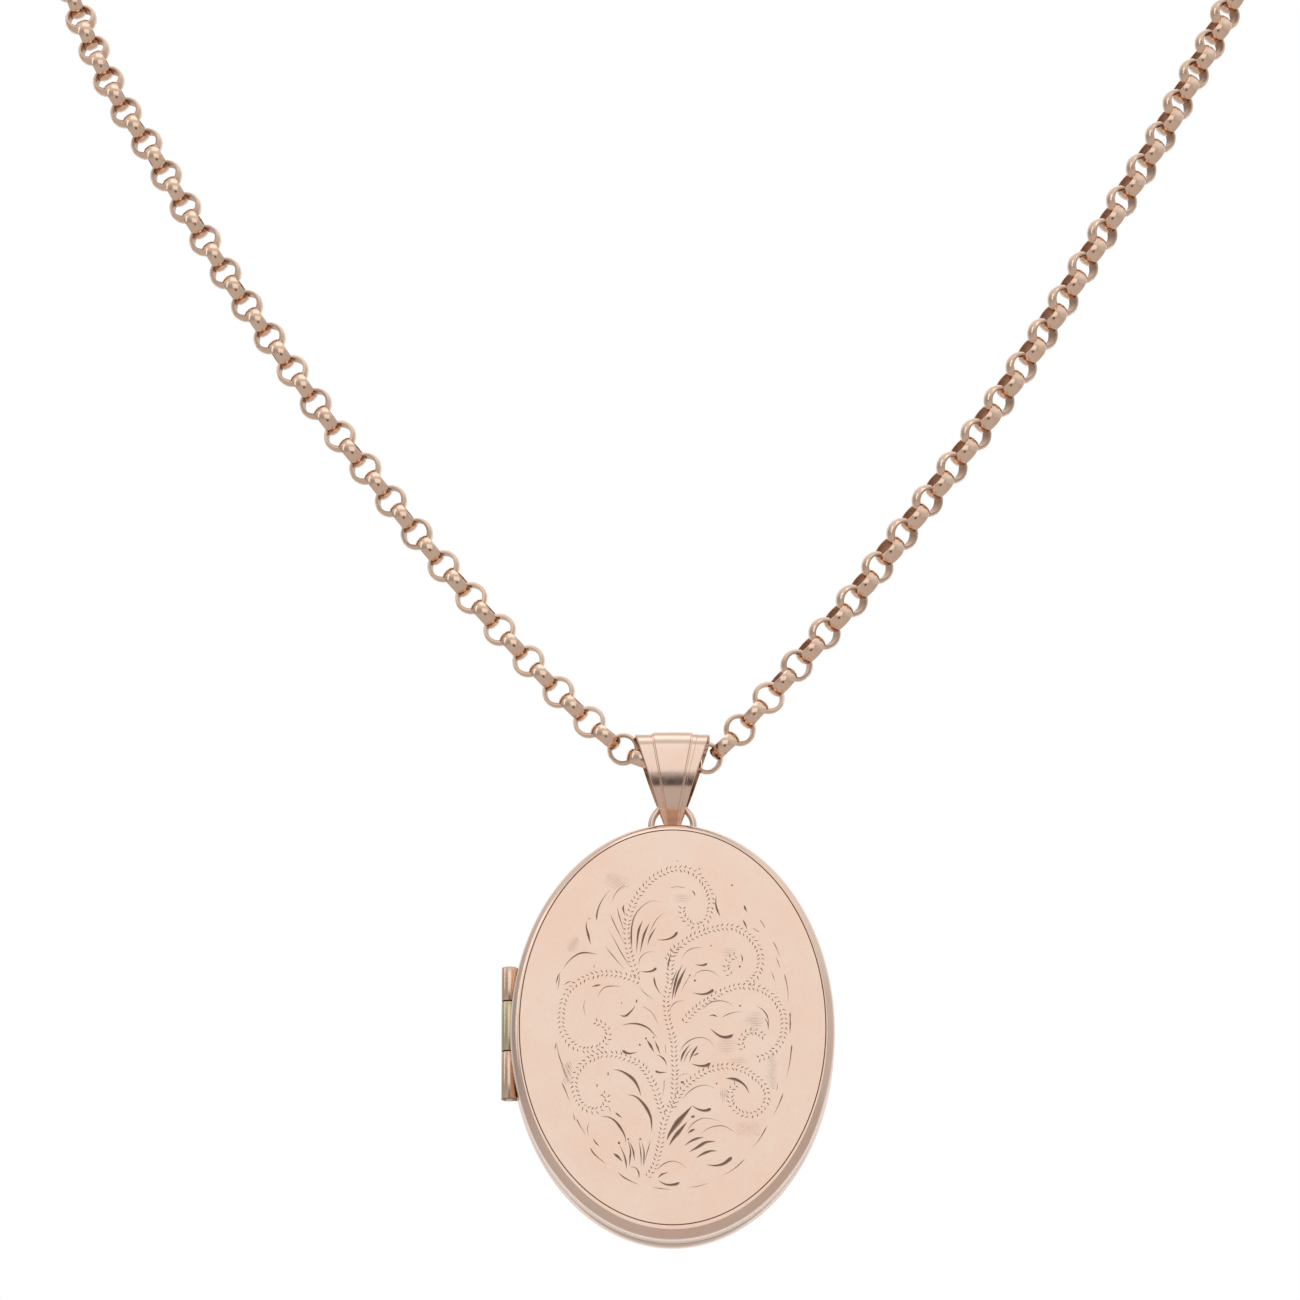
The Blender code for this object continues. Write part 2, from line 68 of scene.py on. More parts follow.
# The room: a large soft light in front, one overhead, a narrow one on the left and a low one
# behind. The lens looks slightly up at the locket, which hangs right of the middle and low in view.
SEAM_HALF_GAP = 0.05 * MM
VIEW_RISE = math.radians(15)
VIEW_DISTANCE = 0.95
VIEW_WIDTH = 0.12116
VIEW_LEFT = 2.1 * MM
VIEW_ABOVE = 35.98 * MM
VIEW_NEAREST = 0.02
VIEW_FARTHEST = 50
SENSOR = 36.0
case_low, case_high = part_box("front_shell")
case_centre = Vector((0, case_high.y + SEAM_HALF_GAP, (case_low.z + case_high.z) / 2))
forward = Vector((0, math.cos(VIEW_RISE), math.sin(VIEW_RISE)))
upward = Vector((0, -math.sin(VIEW_RISE), math.cos(VIEW_RISE)))
sideways = Vector((1, 0, 0))
eye = case_centre - VIEW_LEFT * sideways + VIEW_ABOVE * upward - VIEW_DISTANCE * forward
camera_data = bpy.data.cameras.new("camera")
camera_data.sensor_width = SENSOR
camera_data.lens = SENSOR * VIEW_DISTANCE / VIEW_WIDTH
camera_data.clip_start = VIEW_NEAREST
camera_data.clip_end = VIEW_FARTHEST
camera = bpy.data.objects.new("camera", camera_data)
turned = Matrix((sideways, upward, -forward)).transposed().to_4x4()
camera.matrix_world = Matrix.Translation(eye) @ turned
bpy.context.scene.collection.objects.link(camera)
bpy.context.scene.camera = camera
bpy.context.scene.view_settings.view_transform = "Standard"


def soft_light(name, height, turn, distance, width, tall, radiance, colour):
    """A softbox that faces the locket, this high and this far round from the front."""
    data = bpy.data.lights.new(name, "AREA")
    data.shape = "RECTANGLE"
    data.size = width
    data.size_y = tall
    data.energy = radiance * math.pi * width * tall
    data.color = colour
    rise, round_turn = math.radians(height), math.radians(turn)
    level = math.cos(rise)
    away = Vector((math.sin(round_turn) * level, -math.cos(round_turn) * level, math.sin(rise)))
    lamp = bpy.data.objects.new(name, data)
    facing_in = away.to_track_quat("Z", "Y").to_matrix().to_4x4()
    lamp.matrix_world = Matrix.Translation(case_centre + away * distance) @ facing_in
    lamp.visible_camera = False
    bpy.context.scene.collection.objects.link(lamp)


soft_light("front_softbox", 17, 0, 1.6, 1.3, 0.9, 0.60, (1.0, 0.985, 0.965))
soft_light("top_softbox", 72, -20, 1.3, 0.9, 0.7, 0.55, (1.0, 0.99, 0.97))
soft_light("left_strip", 25, -75, 1.4, 0.25, 0.9, 1.0, (1.0, 0.98, 0.96))
soft_light("low_back_softbox", -12, 180, 1.2, 1.6, 0.3, 0.5, (1.0, 0.99, 0.98))

# The camera and its stand: a matt black square close behind the lens. It is out of sight itself,
# and shows only as the dark patch that the polished metal mirrors.
STAND_HALF = 0.165
STAND_BEHIND = 0.03
STAND_BLACK = (0.02, 0.012, 0.016, 1)


def plug(tree, socket, value):
    """Links a value to a socket, or sets it there when it is a plain one."""
    if isinstance(value, bpy.types.NodeSocket):
        tree.links.new(value, socket)
    else:
        socket.default_value = value


def feed(tree, fed, **values):
    """Links or sets a node's inputs by name."""
    for label, value in values.items():
        plug(tree, fed.inputs[label.replace("_", " ")], value)


def finish(name, **looks):
    """A material whose surface has these looks."""
    made = bpy.data.materials.new(name)
    made.use_nodes = True
    feed(made.node_tree, made.node_tree.nodes["Principled BSDF"], **looks)
    return made


stand_mesh = bpy.data.meshes.new("camera_stand")
stand_middle = eye - forward * STAND_BEHIND
corners = ((-1, -1), (1, -1), (1, 1), (-1, 1))
stand_points = [stand_middle + (sideways * x + upward * y) * STAND_HALF for x, y in corners]
stand_mesh.from_pydata(stand_points, [], [(0, 1, 2, 3)])
stand = bpy.data.objects.new("camera_stand", stand_mesh)
stand.visible_camera = False
bpy.context.scene.collection.objects.link(stand)
stand_mesh.materials.append(finish("camera_black", Base_Color=STAND_BLACK, Roughness=0.7))
stand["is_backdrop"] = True

# The room's own light: a white wall to the eye. What the metal mirrors of it is brighter overhead,
# behind the locket and to the right, and darker underfoot. Each band: which way it changes, from
# where to where, and its light at either end.
ROOM_BANDS = (
    ("Z", 0.2, 0.85, 0.36, 0.76),
    ("Y", 0.45, 0.9, 0.0, 0.5),
    ("Z", -0.95, -0.55, -0.2, 0.0),
    ("X", 0.2, 0.9, 0.0, 0.22),
)


def node(tree, kind, settings=None, **values):
    """A node in a tree, with its settings made and its named inputs linked or set."""
    made = tree.nodes.new(kind)
    for label, setting in (settings or {}).items():
        setattr(made, label, setting)
    feed(tree, made, **values)
    return made


def reckon(tree, operation, *values):
    """A sum of up to three values, worked out in a tree."""
    made = node(tree, "ShaderNodeMath", {"operation": operation})
    for socket, value in zip(made.inputs, values):
        plug(tree, socket, value)
    return made.outputs[0]


world = bpy.data.worlds.new("white_room")
bpy.context.scene.world = world
world.use_nodes = True
room = world.node_tree
room.nodes.clear()
direction = node(room, "ShaderNodeTexCoord").outputs["Generated"]
way = node(room, "ShaderNodeSeparateXYZ", Vector=direction).outputs
lit = 0.0
for axis, start, end, low, high in ROOM_BANDS:
    band = node(room, "ShaderNodeMapRange", {"interpolation_type": "SMOOTHSTEP"}, Value=way[axis])
    feed(room, band, From_Min=start, From_Max=end, To_Min=low, To_Max=high)
    lit = reckon(room, "ADD", lit, band.outputs["Result"])
tint = node(room, "ShaderNodeCombineColor", Red=lit, Green=lit, Blue=lit)
soft = node(room, "ShaderNodeBackground", Color=tint.outputs[0])
seen = node(room, "ShaderNodeBackground", Color=(1, 1, 1, 1), Strength=1.0)
to_eye = node(room, "ShaderNodeLightPath").outputs["Is Camera Ray"]
choose = node(room, "ShaderNodeMixShader")
for socket, value in zip(choose.inputs, (to_eye, soft.outputs[0], seen.outputs[0])):
    plug(room, socket, value)
node(room, "ShaderNodeOutputWorld", Surface=choose.outputs[0])

# The floor: a wide disc of pale matt paint, well below the locket. It throws a soft warm light up
# at the metal's undersides.
FLOOR_DROP = 0.30
FLOOR_RADIUS = 8.0
FLOOR_SIDES = 96
FLOOR_PALE = (0.64, 0.60, 0.575, 1)
floor_mesh = bpy.data.meshes.new("floor")
floor_shape = bmesh.new()
bmesh.ops.create_circle(floor_shape, cap_ends=True, segments=FLOOR_SIDES, radius=FLOOR_RADIUS)
bmesh.ops.translate(floor_shape, verts=floor_shape.verts, vec=(0, 0, cad_low.z - FLOOR_DROP))
floor_shape.to_mesh(floor_mesh)
floor_shape.free()
floor = bpy.data.objects.new("floor", floor_mesh)
bpy.context.scene.collection.objects.link(floor)
floor_mesh.materials.append(finish("pale_floor", Base_Color=FLOOR_PALE, Roughness=0.8))
floor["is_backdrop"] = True

# The belcher chain: some two hundred round links of D-section strip, each turned a quarter from
# the last. Rose gold, polished by wear outside, with painted shade darkening the inner walls where
# the links sit inside each other.
LINK_MEAN_RADIUS = 1.235 * MM
LINK_WIRE_THICKNESS = 0.43 * MM
LINK_WIRE_WIDTH = 1.40 * MM
LINK_COUNT = 209
LINK_SEGMENTS = 24
WIRE_SEGMENTS = 10
INNER_FLAT = -0.17
CRISP_EDGE = 0.72
INNER_SHADE = 0.55
LOOSE_TURN = 0.07
LOOSE_SEED = 7
QUARTER = math.pi / 2
TWIST_ALONG_CHAIN = ((0, 0), (0.52, 0.0), (0.56, 0.2), (0.76, 0.2), (0.84, 0.0), (1, 0))
MOTTLE_TINT = (1.0, 0.945, 0.93, 1)
SCRATCH_SCALE = 2600
SCRATCH_TURN = (0.3, 0.7, 0.2)
SCRATCH_STRETCH = (1, 0.12, 1)
SCRATCH_ROUGHNESS = 0.1
SCRATCH_DEEPEST = 0.01 * MM
TARNISH_AND_SHADE_ROUGHNESS = 0.25
CHAIN_ROUTE = [
    (-0.0076, 0.0000, 0.0000),
    (-0.0140, 0.0000, -0.0001),
    (-0.0290, -0.0001, -0.0027),
    (-0.0430, -0.0007, -0.0102),
    (-0.0530, -0.0021, -0.0212),
    (-0.0590, -0.0043, -0.0350),
    (-0.0616, -0.0072, -0.0500),
    (-0.0612, -0.0107, -0.0650),
    (-0.0586, -0.0139, -0.0775),
    (-0.0542, -0.0182, -0.0890),
    (-0.0499, -0.0204, -0.0966),
    (-0.0458, -0.0224, -0.1041),
    (-0.0416, -0.0240, -0.1114),
    (-0.0371, -0.0254, -0.1184),
    (-0.0326, -0.0265, -0.1252),
    (-0.0279, -0.0274, -0.1316),
    (-0.0231, -0.0280, -0.1380),
    (-0.0181, -0.0285, -0.1441),
    (-0.0130, -0.0288, -0.1499),
    (-0.0077, -0.0290, -0.1554),
    (-0.0042, -0.0289, -0.1582),
    (-0.0020, -0.0290, -0.1592),
    (0.0000, -0.0290, -0.1595),
    (0.0020, -0.0290, -0.1592),
    (0.0042, -0.0289, -0.1582),
    (0.0070, -0.0290, -0.1553),
    (0.0120, -0.0288, -0.1494),
    (0.0169, -0.0285, -0.1434),
    (0.0215, -0.0279, -0.1370),
    (0.0261, -0.0272, -0.1305),
    (0.0306, -0.0263, -0.1238),
    (0.0349, -0.0251, -0.1168),
    (0.0390, -0.0236, -0.1095),
    (0.0430, -0.0219, -0.1021),
    (0.0472, -0.0199, -0.0945),
    (0.0496, -0.0184, -0.0895),
    (0.0546, -0.0140, -0.0785),
    (0.0584, -0.0107, -0.0654),
    (0.0592, -0.0072, -0.0502),
    (0.0570, -0.0043, -0.0352),
    (0.0512, -0.0021, -0.0213),
    (0.0414, -0.0007, -0.0103),
    (0.0276, -0.0001, -0.0027),
    (0.0125, 0.0000, -0.0001),
    (0.0052, 0.0000, 0.0000),
]
ROUTE_STEPS = 8
PATCH_START = 0.35
PATCH_END = 0.65


def smooth_route(points, steps):
    """Points on a smooth curve through the route's own points."""
    padded = [2 * points[0] - points[1], *points, 2 * points[-1] - points[-2]]
    route = []
    for before, start, end, after in zip(padded, padded[1:], padded[2:], padded[3:]):
        for step in range(steps):
            t = step / steps
            bend = 2 * before - 5 * start + 4 * end - after
            twist = -before + 3 * start - 3 * end + after
            route.append((2 * start + (end - before) * t + bend * t**2 + twist * t**3) / 2)
    return [*route, points[-1]]


def adopt(name, data, body, slot, *nodes):
    """A finished mesh as a piece: on its body, and shown in place of its CAD nodes. Its slot is not used."""
    piece = bpy.data.objects.new(name, data)
    bpy.context.scene.collection.objects.link(piece)
    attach(piece, body)
    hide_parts(*nodes)
    return piece


def give_sockets(tree, inputs, outputs):
    """Named inputs and outputs for a tree, each with its kind."""
    for way_through, sockets in (("INPUT", inputs), ("OUTPUT", outputs)):
        for name, kind in sockets.items():
            tree.interface.new_socket(name, in_out=way_through, socket_type="NodeSocket" + kind)


def worn_metal_group():
    """Wear that every polished piece shares: soft mottling and fine scratches, with the mesh's tarnishing and
    painted shade mixed in as darkening.
    """
    group = bpy.data.node_groups.new("worn_gold", "ShaderNodeTree")
    wear = {"Colour": "Color", "Tarnish Colour": "Color", "Tarnish": "Float"}
    wear |= {"Base Roughness": "Float", "Mottle Scale": "Float", "Scratch Depth": "Float"}
    give_sockets(group, wear, {"Colour": "Color", "Roughness": "Float", "Normal": "Vector"})
    given = node(group, "NodeGroupInput").outputs
    place = node(group, "ShaderNodeTexCoord").outputs["Object"]
    mottle = node(group, "ShaderNodeTexNoise", Vector=place, Scale=given["Mottle Scale"], Detail=3)
    patch = node(group, "ShaderNodeMapRange", Value=mottle.outputs["Fac"], From_Min=PATCH_START)
    feed(group, patch, From_Max=PATCH_END)
    pinker = node(group, "ShaderNodeMixRGB", {"blend_type": "MULTIPLY"}, Color2=MOTTLE_TINT)
    feed(group, pinker, Fac=patch.outputs["Result"], Color1=given["Colour"])
    # Tarnishing and painted shade both darken the colour here, by the mesh's share.
    tarnished_and_shaded = node(group, "ShaderNodeMixRGB", Fac=given["Tarnish"], Color1=pinker.outputs["Color"])
    feed(group, tarnished_and_shaded, Color2=given["Tarnish Colour"])
    stretch = node(group, "ShaderNodeMapping", Vector=place, Rotation=SCRATCH_TURN, Scale=SCRATCH_STRETCH)
    fine = node(group, "ShaderNodeTexNoise", Vector=stretch.outputs["Vector"], Scale=SCRATCH_SCALE, Detail=2)
    scratch = fine.outputs["Fac"]
    rough = reckon(group, "MULTIPLY_ADD", scratch, SCRATCH_ROUGHNESS, given["Base Roughness"])
    dull = reckon(group, "MULTIPLY_ADD", given["Tarnish"], TARNISH_AND_SHADE_ROUGHNESS, rough)
    bump = node(group, "ShaderNodeBump", Distance=SCRATCH_DEEPEST, Height=scratch)
    feed(group, bump, Strength=given["Scratch Depth"])
    out = node(group, "NodeGroupOutput", Colour=tarnished_and_shaded.outputs["Color"], Roughness=dull)
    feed(group, out, Normal=bump.outputs["Normal"])
    return group


worn_gold = worn_metal_group()


def gold(name, colour, roughness, mottle, scratches, tarnish_and_shade):
    """A polished gold with its own colour and wear. Tarnishing and painted shade come from the mesh where it
    has any.
    """
    made = finish(name, Metallic=1.0)
    tree = made.node_tree
    dark = node(tree, "ShaderNodeAttribute", {"attribute_name": "tarnish_and_shade"}).outputs["Fac"]
    wear = node(tree, "ShaderNodeGroup", {"node_tree": worn_gold}, Colour=(*colour, 1), Tarnish=dark)
    feed(tree, wear, Tarnish_Colour=(*tarnish_and_shade, 1), Base_Roughness=roughness)
    feed(tree, wear, Mottle_Scale=mottle, Scratch_Depth=scratches)
    shader = tree.nodes["Principled BSDF"]
    feed(tree, shader, Base_Color=wear.outputs["Colour"], Roughness=wear.outputs["Roughness"])
    feed(tree, shader, Normal=wear.outputs["Normal"])
    return made


# The chain's darkening colour is the painted shade on the links' inner walls.
chain_gold = gold("chain_rose_gold", (0.92, 0.69, 0.53), 0.13, 900, 0.2, (0.28, 0.13, 0.07))
route = smooth_route([Vector(point) for point in CHAIN_ROUTE], ROUTE_STEPS)

belcher = bpy.data.node_groups.new("belcher_links", "GeometryNodeTree")
belcher.is_modifier = True
asked = {"Geometry": "Geometry", "Links": "Int", "Link Radius": "Float", "Wire Thickness": "Float"}
asked |= {"Wire Width": "Float", "Link Segments": "Int", "Wire Segments": "Int"}
asked |= {"Loose Turn": "Float", "Seed": "Int", "Metal": "Material"}
give_sockets(belcher, asked, {"Geometry": "Geometry"})
given = node(belcher, "NodeGroupInput").outputs


def place_parts():
    """The parts of a point's place, across, along and up."""
    place = node(belcher, "GeometryNodeInputPosition").outputs[0]
    return node(belcher, "ShaderNodeSeparateXYZ", Vector=place).outputs


# One link: a round section flattened on its inner side, swept round a ring, with crisp edges and
# painted shade that darkens it towards the middle of the ring.
circle = "GeometryNodeCurvePrimitiveCircle"
ring = node(belcher, circle, Resolution=given["Link Segments"], Radius=given["Link Radius"])
section = node(belcher, circle, Resolution=given["Wire Segments"], Radius=0.5).outputs["Curve"]
across, along, up = place_parts()
cut_in = node(belcher, "ShaderNodeCombineXYZ", X=reckon(belcher, "MAXIMUM", across, INNER_FLAT), Y=along)
d_section = node(belcher, "GeometryNodeSetPosition", Geometry=section, Position=cut_in.outputs[0])
deep = reckon(belcher, "DIVIDE", given["Wire Thickness"], 0.5 - INNER_FLAT)
flat = node(belcher, "ShaderNodeCombineXYZ", X=deep, Y=given["Wire Width"], Z=1.0).outputs[0]
shaped = node(belcher, "GeometryNodeTransform", Geometry=d_section.outputs["Geometry"], Scale=flat)
swept = node(belcher, "GeometryNodeCurveToMesh", Curve=ring.outputs["Curve"])
feed(belcher, swept, Profile_Curve=shaped.outputs["Geometry"])
smoothed = node(belcher, "GeometryNodeSetShadeSmooth", Geometry=swept.outputs["Mesh"])
edge_angle = node(belcher, "GeometryNodeInputMeshEdgeAngle").outputs[0]
sharp = reckon(belcher, "GREATER_THAN", edge_angle, CRISP_EDGE)
crisp = node(belcher, "GeometryNodeSetShadeSmooth", {"domain": "EDGE"}, Shade_Smooth=False)
feed(belcher, crisp, Selection=sharp, Geometry=smoothed.outputs["Geometry"])
# Painted shade: each link darkens from the middle of its wire inwards, fully a quarter of the wire's
# thickness in.
across, along, up = place_parts()
squares = [reckon(belcher, "MULTIPLY", side, side) for side in (across, along)]
outward = reckon(belcher, "SQRT", reckon(belcher, "ADD", *squares), 0.0)
quarter_wire = reckon(belcher, "MULTIPLY", given["Wire Thickness"], 0.25)
full_shade_at = reckon(belcher, "SUBTRACT", given["Link Radius"], quarter_wire)
shade_share = node(belcher, "ShaderNodeMapRange", Value=outward, From_Min=given["Link Radius"])
feed(belcher, shade_share, From_Max=full_shade_at, To_Min=0.0, To_Max=INNER_SHADE)
kept = node(belcher, "GeometryNodeStoreNamedAttribute", {"data_type": "FLOAT", "domain": "POINT"})
feed(belcher, kept, Name="tarnish_and_shade", Value=shade_share.outputs[0], Geometry=crisp.outputs["Geometry"])

# The links in line: evenly along the route, each a quarter turn on from the last, with the lay of
# the whole chain twisting slowly and every link a little loose.
spots = node(belcher, "GeometryNodeCurveToPoints", {"mode": "COUNT"}, Curve=given["Geometry"])
feed(belcher, spots, Count=given["Links"])
along = node(belcher, "FunctionNodeAlignRotationToVector", {"axis": "X"}, Vector=spots.outputs["Tangent"])
facing = node(belcher, "FunctionNodeAlignRotationToVector", {"axis": "Z", "pivot_axis": "X"}, Vector=forward)
feed(belcher, facing, Rotation=along.outputs[0])
index = node(belcher, "GeometryNodeInputIndex").outputs[0]
quarter = reckon(belcher, "MULTIPLY", index, QUARTER)
share = reckon(belcher, "DIVIDE", index, reckon(belcher, "SUBTRACT", given["Links"], 1))
twist = node(belcher, "ShaderNodeFloatCurve", Value=share)
lay = twist.mapping.curves[0]
lay.points[0].location = TWIST_ALONG_CHAIN[0]
lay.points[1].location = TWIST_ALONG_CHAIN[-1]
for spot in TWIST_ALONG_CHAIN[1:-1]:
    lay.points.new(*spot)
twist.mapping.update()
rolled = reckon(belcher, "MULTIPLY", twist.outputs[0], QUARTER)
loose = node(belcher, "FunctionNodeRandomValue", {"data_type": "FLOAT"}, Seed=given["Seed"])
plug(belcher, loose.inputs[2], reckon(belcher, "MULTIPLY", given["Loose Turn"], -1.0))
plug(belcher, loose.inputs[3], given["Loose Turn"])
turn = reckon(belcher, "ADD", reckon(belcher, "ADD", quarter, rolled), loose.outputs[1])
spin = node(belcher, "FunctionNodeAxisAngleToRotation", Axis=(1, 0, 0), Angle=turn)
posed = node(belcher, "FunctionNodeRotateRotation", {"rotation_space": "LOCAL"})
feed(belcher, posed, Rotation=facing.outputs[0], Rotate_By=spin.outputs[0])
linked = node(belcher, "GeometryNodeInstanceOnPoints", Points=spots.outputs["Points"])
feed(belcher, linked, Instance=kept.outputs["Geometry"], Rotation=posed.outputs[0])
real = node(belcher, "GeometryNodeRealizeInstances", Geometry=linked.outputs["Instances"])
metal = node(belcher, "GeometryNodeSetMaterial", Geometry=real.outputs["Geometry"], Material=given["Metal"])
node(belcher, "NodeGroupOutput", Geometry=metal.outputs["Geometry"])


def route_curve(name, points):
    """A line through points, as a curve that the links are set along."""
    data = bpy.data.curves.new(name, "CURVE")
    data.dimensions = "3D"
    spline = data.splines.new("POLY")
    spline.points.add(len(points) - 1)
    for spot, point in zip(spline.points, points):
        spot.co = (*point, 1)
    line = bpy.data.objects.new(name, data)
    bpy.context.scene.collection.objects.link(line)
    return line


def grown(carrier, tree, values):
    """What the tree grows on the carrier, as a plain mesh."""
    modifier = carrier.modifiers.new(tree.name, "NODES")
    modifier.node_group = tree
    sockets = {item.name: item.identifier for item in tree.interface.items_tree if item.in_out == "INPUT"}
    for label, value in values.items():
        modifier[sockets[label]] = value
    graph = bpy.context.evaluated_depsgraph_get()
    mesh = bpy.data.meshes.new_from_object(carrier.evaluated_get(graph))
    bpy.data.objects.remove(carrier)
    return mesh


link_sizes = {
    "Links": LINK_COUNT,
    "Link Radius": LINK_MEAN_RADIUS,
    "Wire Thickness": LINK_WIRE_THICKNESS,
    "Wire Width": LINK_WIRE_WIDTH,
    "Link Segments": LINK_SEGMENTS,
    "Wire Segments": WIRE_SEGMENTS,
    "Loose Turn": LOOSE_TURN,
    "Seed": LOOSE_SEED,
    "Metal": chain_gold,
}
links_mesh = grown(route_curve("chain_line", route), belcher, link_sizes)
links_mesh.name = "belcher_links"
belcher_links = adopt("belcher_links", links_mesh, "chain", "chain_gold", "belcher_chain")

# The bail: a strip folded over the chain and closed under the loop, wide at the top and narrow at
# its foot. A panel with a stepped edge is pressed up along its middle. Polished rose gold.
BAIL_AXIS = Vector((0, -0.029, -0.159))
BAIL_HALF_DEPTH = 2.3 * MM
BAIL_CROWN = 2.12 * MM
BAIL_SQUARE = 0.6
BAIL_HALF_WALL = 0.14 * MM
BAIL_TURN_STEPS = 40
BAIL_LEAF_MM = ((2.3, -0.5), (2.3, -1.0), (2.3, -1.4), (2.289, -1.6), (2.268, -1.8), (2.216, -2.15))
BAIL_LEAF_MM += ((2.15, -2.5), (2.068, -2.85), (1.991, -3.1), (1.858, -3.4), (1.698, -3.7), (1.525, -4.0))
BAIL_LEAF_MM += ((1.315, -4.35), (1.105, -4.7), (0.895, -5.05), (0.86, -5.1), (0.83, -5.15))
BAIL_LEAF_MM += ((0.68, -5.4), (0.55, -5.62))
BAIL_EYE_MM = ((0.44, -5.85), (0.38, -6.1), (0.26, -6.3), (0.0, -6.42))
BAIL_WIDTHS_MM = ((2.8, 7.5), (-6.7, 1.3))
PANEL_WIDTHS_MM = ((2.8, 4.0), (-5.1, 1.12), (-6.5, 0.8))
PANEL_STEPS_MM = ((0.17, 0), (0.12, 0.10), (0, 0.11), (-0.05, 0.22), (-0.11, 0.22))
PANEL_HEIGHT = 0.24
PANEL_FOOT = -5.1 * MM
PANEL_MARGIN = 0.3 * MM
FOOT_SUNK = -0.3
LEDGE_SHARE = 0.33
LEDGE_SLOPE = 0.04 * MM
LEDGE_HEIGHT = 0.06 * MM


def skin(name, rows, closed=False, crease=35):
    """A surface through like rows of points, joined end to end or with its two ends filled."""
    shape = bmesh.new()
    made = [[shape.verts.new(point) for point in row] for row in rows]
    for row, after in zip(made, made[1:] + made[:1] if closed else made[1:]):
        for i in range(len(row)):
            shape.faces.new((row[i], row[i - 1], after[i - 1], after[i]))
    if not closed:
        shape.faces.new(made[0])
        shape.faces.new(made[-1])
    bmesh.ops.recalc_face_normals(shape, faces=shape.faces)
    data = bpy.data.meshes.new(name)
    shape.to_mesh(data)
    shape.free()
    data.shade_smooth()
    data.set_sharp_from_angle(angle=math.radians(crease))
    return data


def darken(data, shade):
    """Darkening on a mesh, from a rule that gives each point's share of it: painted shade on some pieces,
    tarnishing on others.
    """
    layer = data.attributes.new("tarnish_and_shade", "FLOAT", "POINT")
    for vertex, value in zip(data.vertices, layer.data):
        value.value = shade(vertex.co)


def even(z, sizes):
    """A size in millimetres that changes evenly between each two heights."""
    for (high, size_high), (low, size_low) in zip(sizes, sizes[1:]):
        if z / MM >= low or (low, size_low) == sizes[-1]:
            share = min(max((z / MM - low) / (high - low), 0), 1)
            return (size_low + (size_high - size_low) * share) * MM


leaf = [Vector((0, y * MM, z * MM)) for y, z in (*BAIL_LEAF_MM, *BAIL_EYE_MM)]
fold = []
for step in range(BAIL_TURN_STEPS + 1):
    turn = math.pi * step / BAIL_TURN_STEPS
    back = math.copysign(abs(math.cos(turn)) ** BAIL_SQUARE, math.cos(turn))
    fold.append(Vector((0, back * BAIL_HALF_DEPTH, math.sin(turn) ** BAIL_SQUARE * BAIL_CROWN)))
outline = fold + [Vector((0, -point.y, point.z)) for point in leaf] + leaf[-2::-1]
rows = []
for before, point, after in zip(outline[-1:] + outline, outline, outline[1:] + outline[:1]):
    along = (after - before).normalized()
    outward = Vector((0, along.z, -along.y))
    half = even(point.z, BAIL_WIDTHS_MM) / 2
    panel = min(even(point.z, PANEL_WIDTHS_MM) / 2, half - PANEL_MARGIN)
    raised = 1.0 if point.z > PANEL_FOOT else FOOT_SUNK
    edge = [(half, -2 * BAIL_HALF_WALL), (half, -0.07 * MM), (half - 0.06 * MM, 0)]
    steps = [(panel + off * MM, up * MM * raised) for off, up in PANEL_STEPS_MM]
    ledge = panel + (half - panel) * LEDGE_SHARE
    second = [(ledge + LEDGE_SLOPE, 0), (ledge, LEDGE_HEIGHT * raised), (steps[0][0], LEDGE_HEIGHT * raised)]
    base = point + outward * BAIL_HALF_WALL + BAIL_AXIS
    right = [base + sideways * across + outward * up for across, up in edge + second + steps[1:]]
    left = [base - sideways * across + outward * up for across, up in reversed(edge + steps)]
    rows.append(right + [base + outward * PANEL_HEIGHT * MM * raised] + left)
bail_mesh = skin("folded_bail", rows, True, 28)


def bail_painted_shade(spot):
    """Painted shade under the foot, inside the fold and along the panel's stepped edge."""
    low = spot.z - BAIL_AXIS.z
    panel_half = even(low, PANEL_WIDTHS_MM) / 2
    panel_side = abs(abs(spot.x) - panel_half) < 0.02 * MM
    within = abs(spot.y - BAIL_AXIS.y) < BAIL_HALF_DEPTH - 0.1 * MM
    inside = within and -2 * MM < low < BAIL_CROWN - 0.1 * MM
    foot = low < PANEL_FOOT and abs(spot.x) < panel_half - 0.04 * MM
    below = 0.55 if foot else 0.2 if low < PANEL_FOOT else 0
    return max(below, 0.3 if panel_side else 0, 0.2 if inside else 0)


# The bail darkens with painted shade under its foot, inside the fold and along the panel's stepped edge.
darken(bail_mesh, bail_painted_shade)
bail_gold = gold("bail_rose_gold", (0.90, 0.70, 0.58), 0.15, 420, 0.3, (0.45, 0.2, 0.08))
bail_mesh.materials.append(bail_gold)
adopt("folded_bail", bail_mesh, "bail", "bail_gold", "bail")

# The hanging loop: a staple of round wire soldered to the top edge of the back half, with a
# little solder round each foot. The bail hangs on it.
LOOP_RADIUS = 1.97 * MM
LOOP_WIRE = 0.32 * MM
LOOP_TOP = BAIL_AXIS.z - 4.4 * MM
ARCH_STEPS = 40
FOOT_STEPS = 5
SOLDER_HEIGHT = 0.35 * MM
SOLDER_FLARE = 0.16 * MM
SOLDER_STAIN = 0.8
CASE_HEIGHT = 39.5 * MM
CASE_WIDTH = 30.2 * MM
FIT_GAP = 0.06 * MM


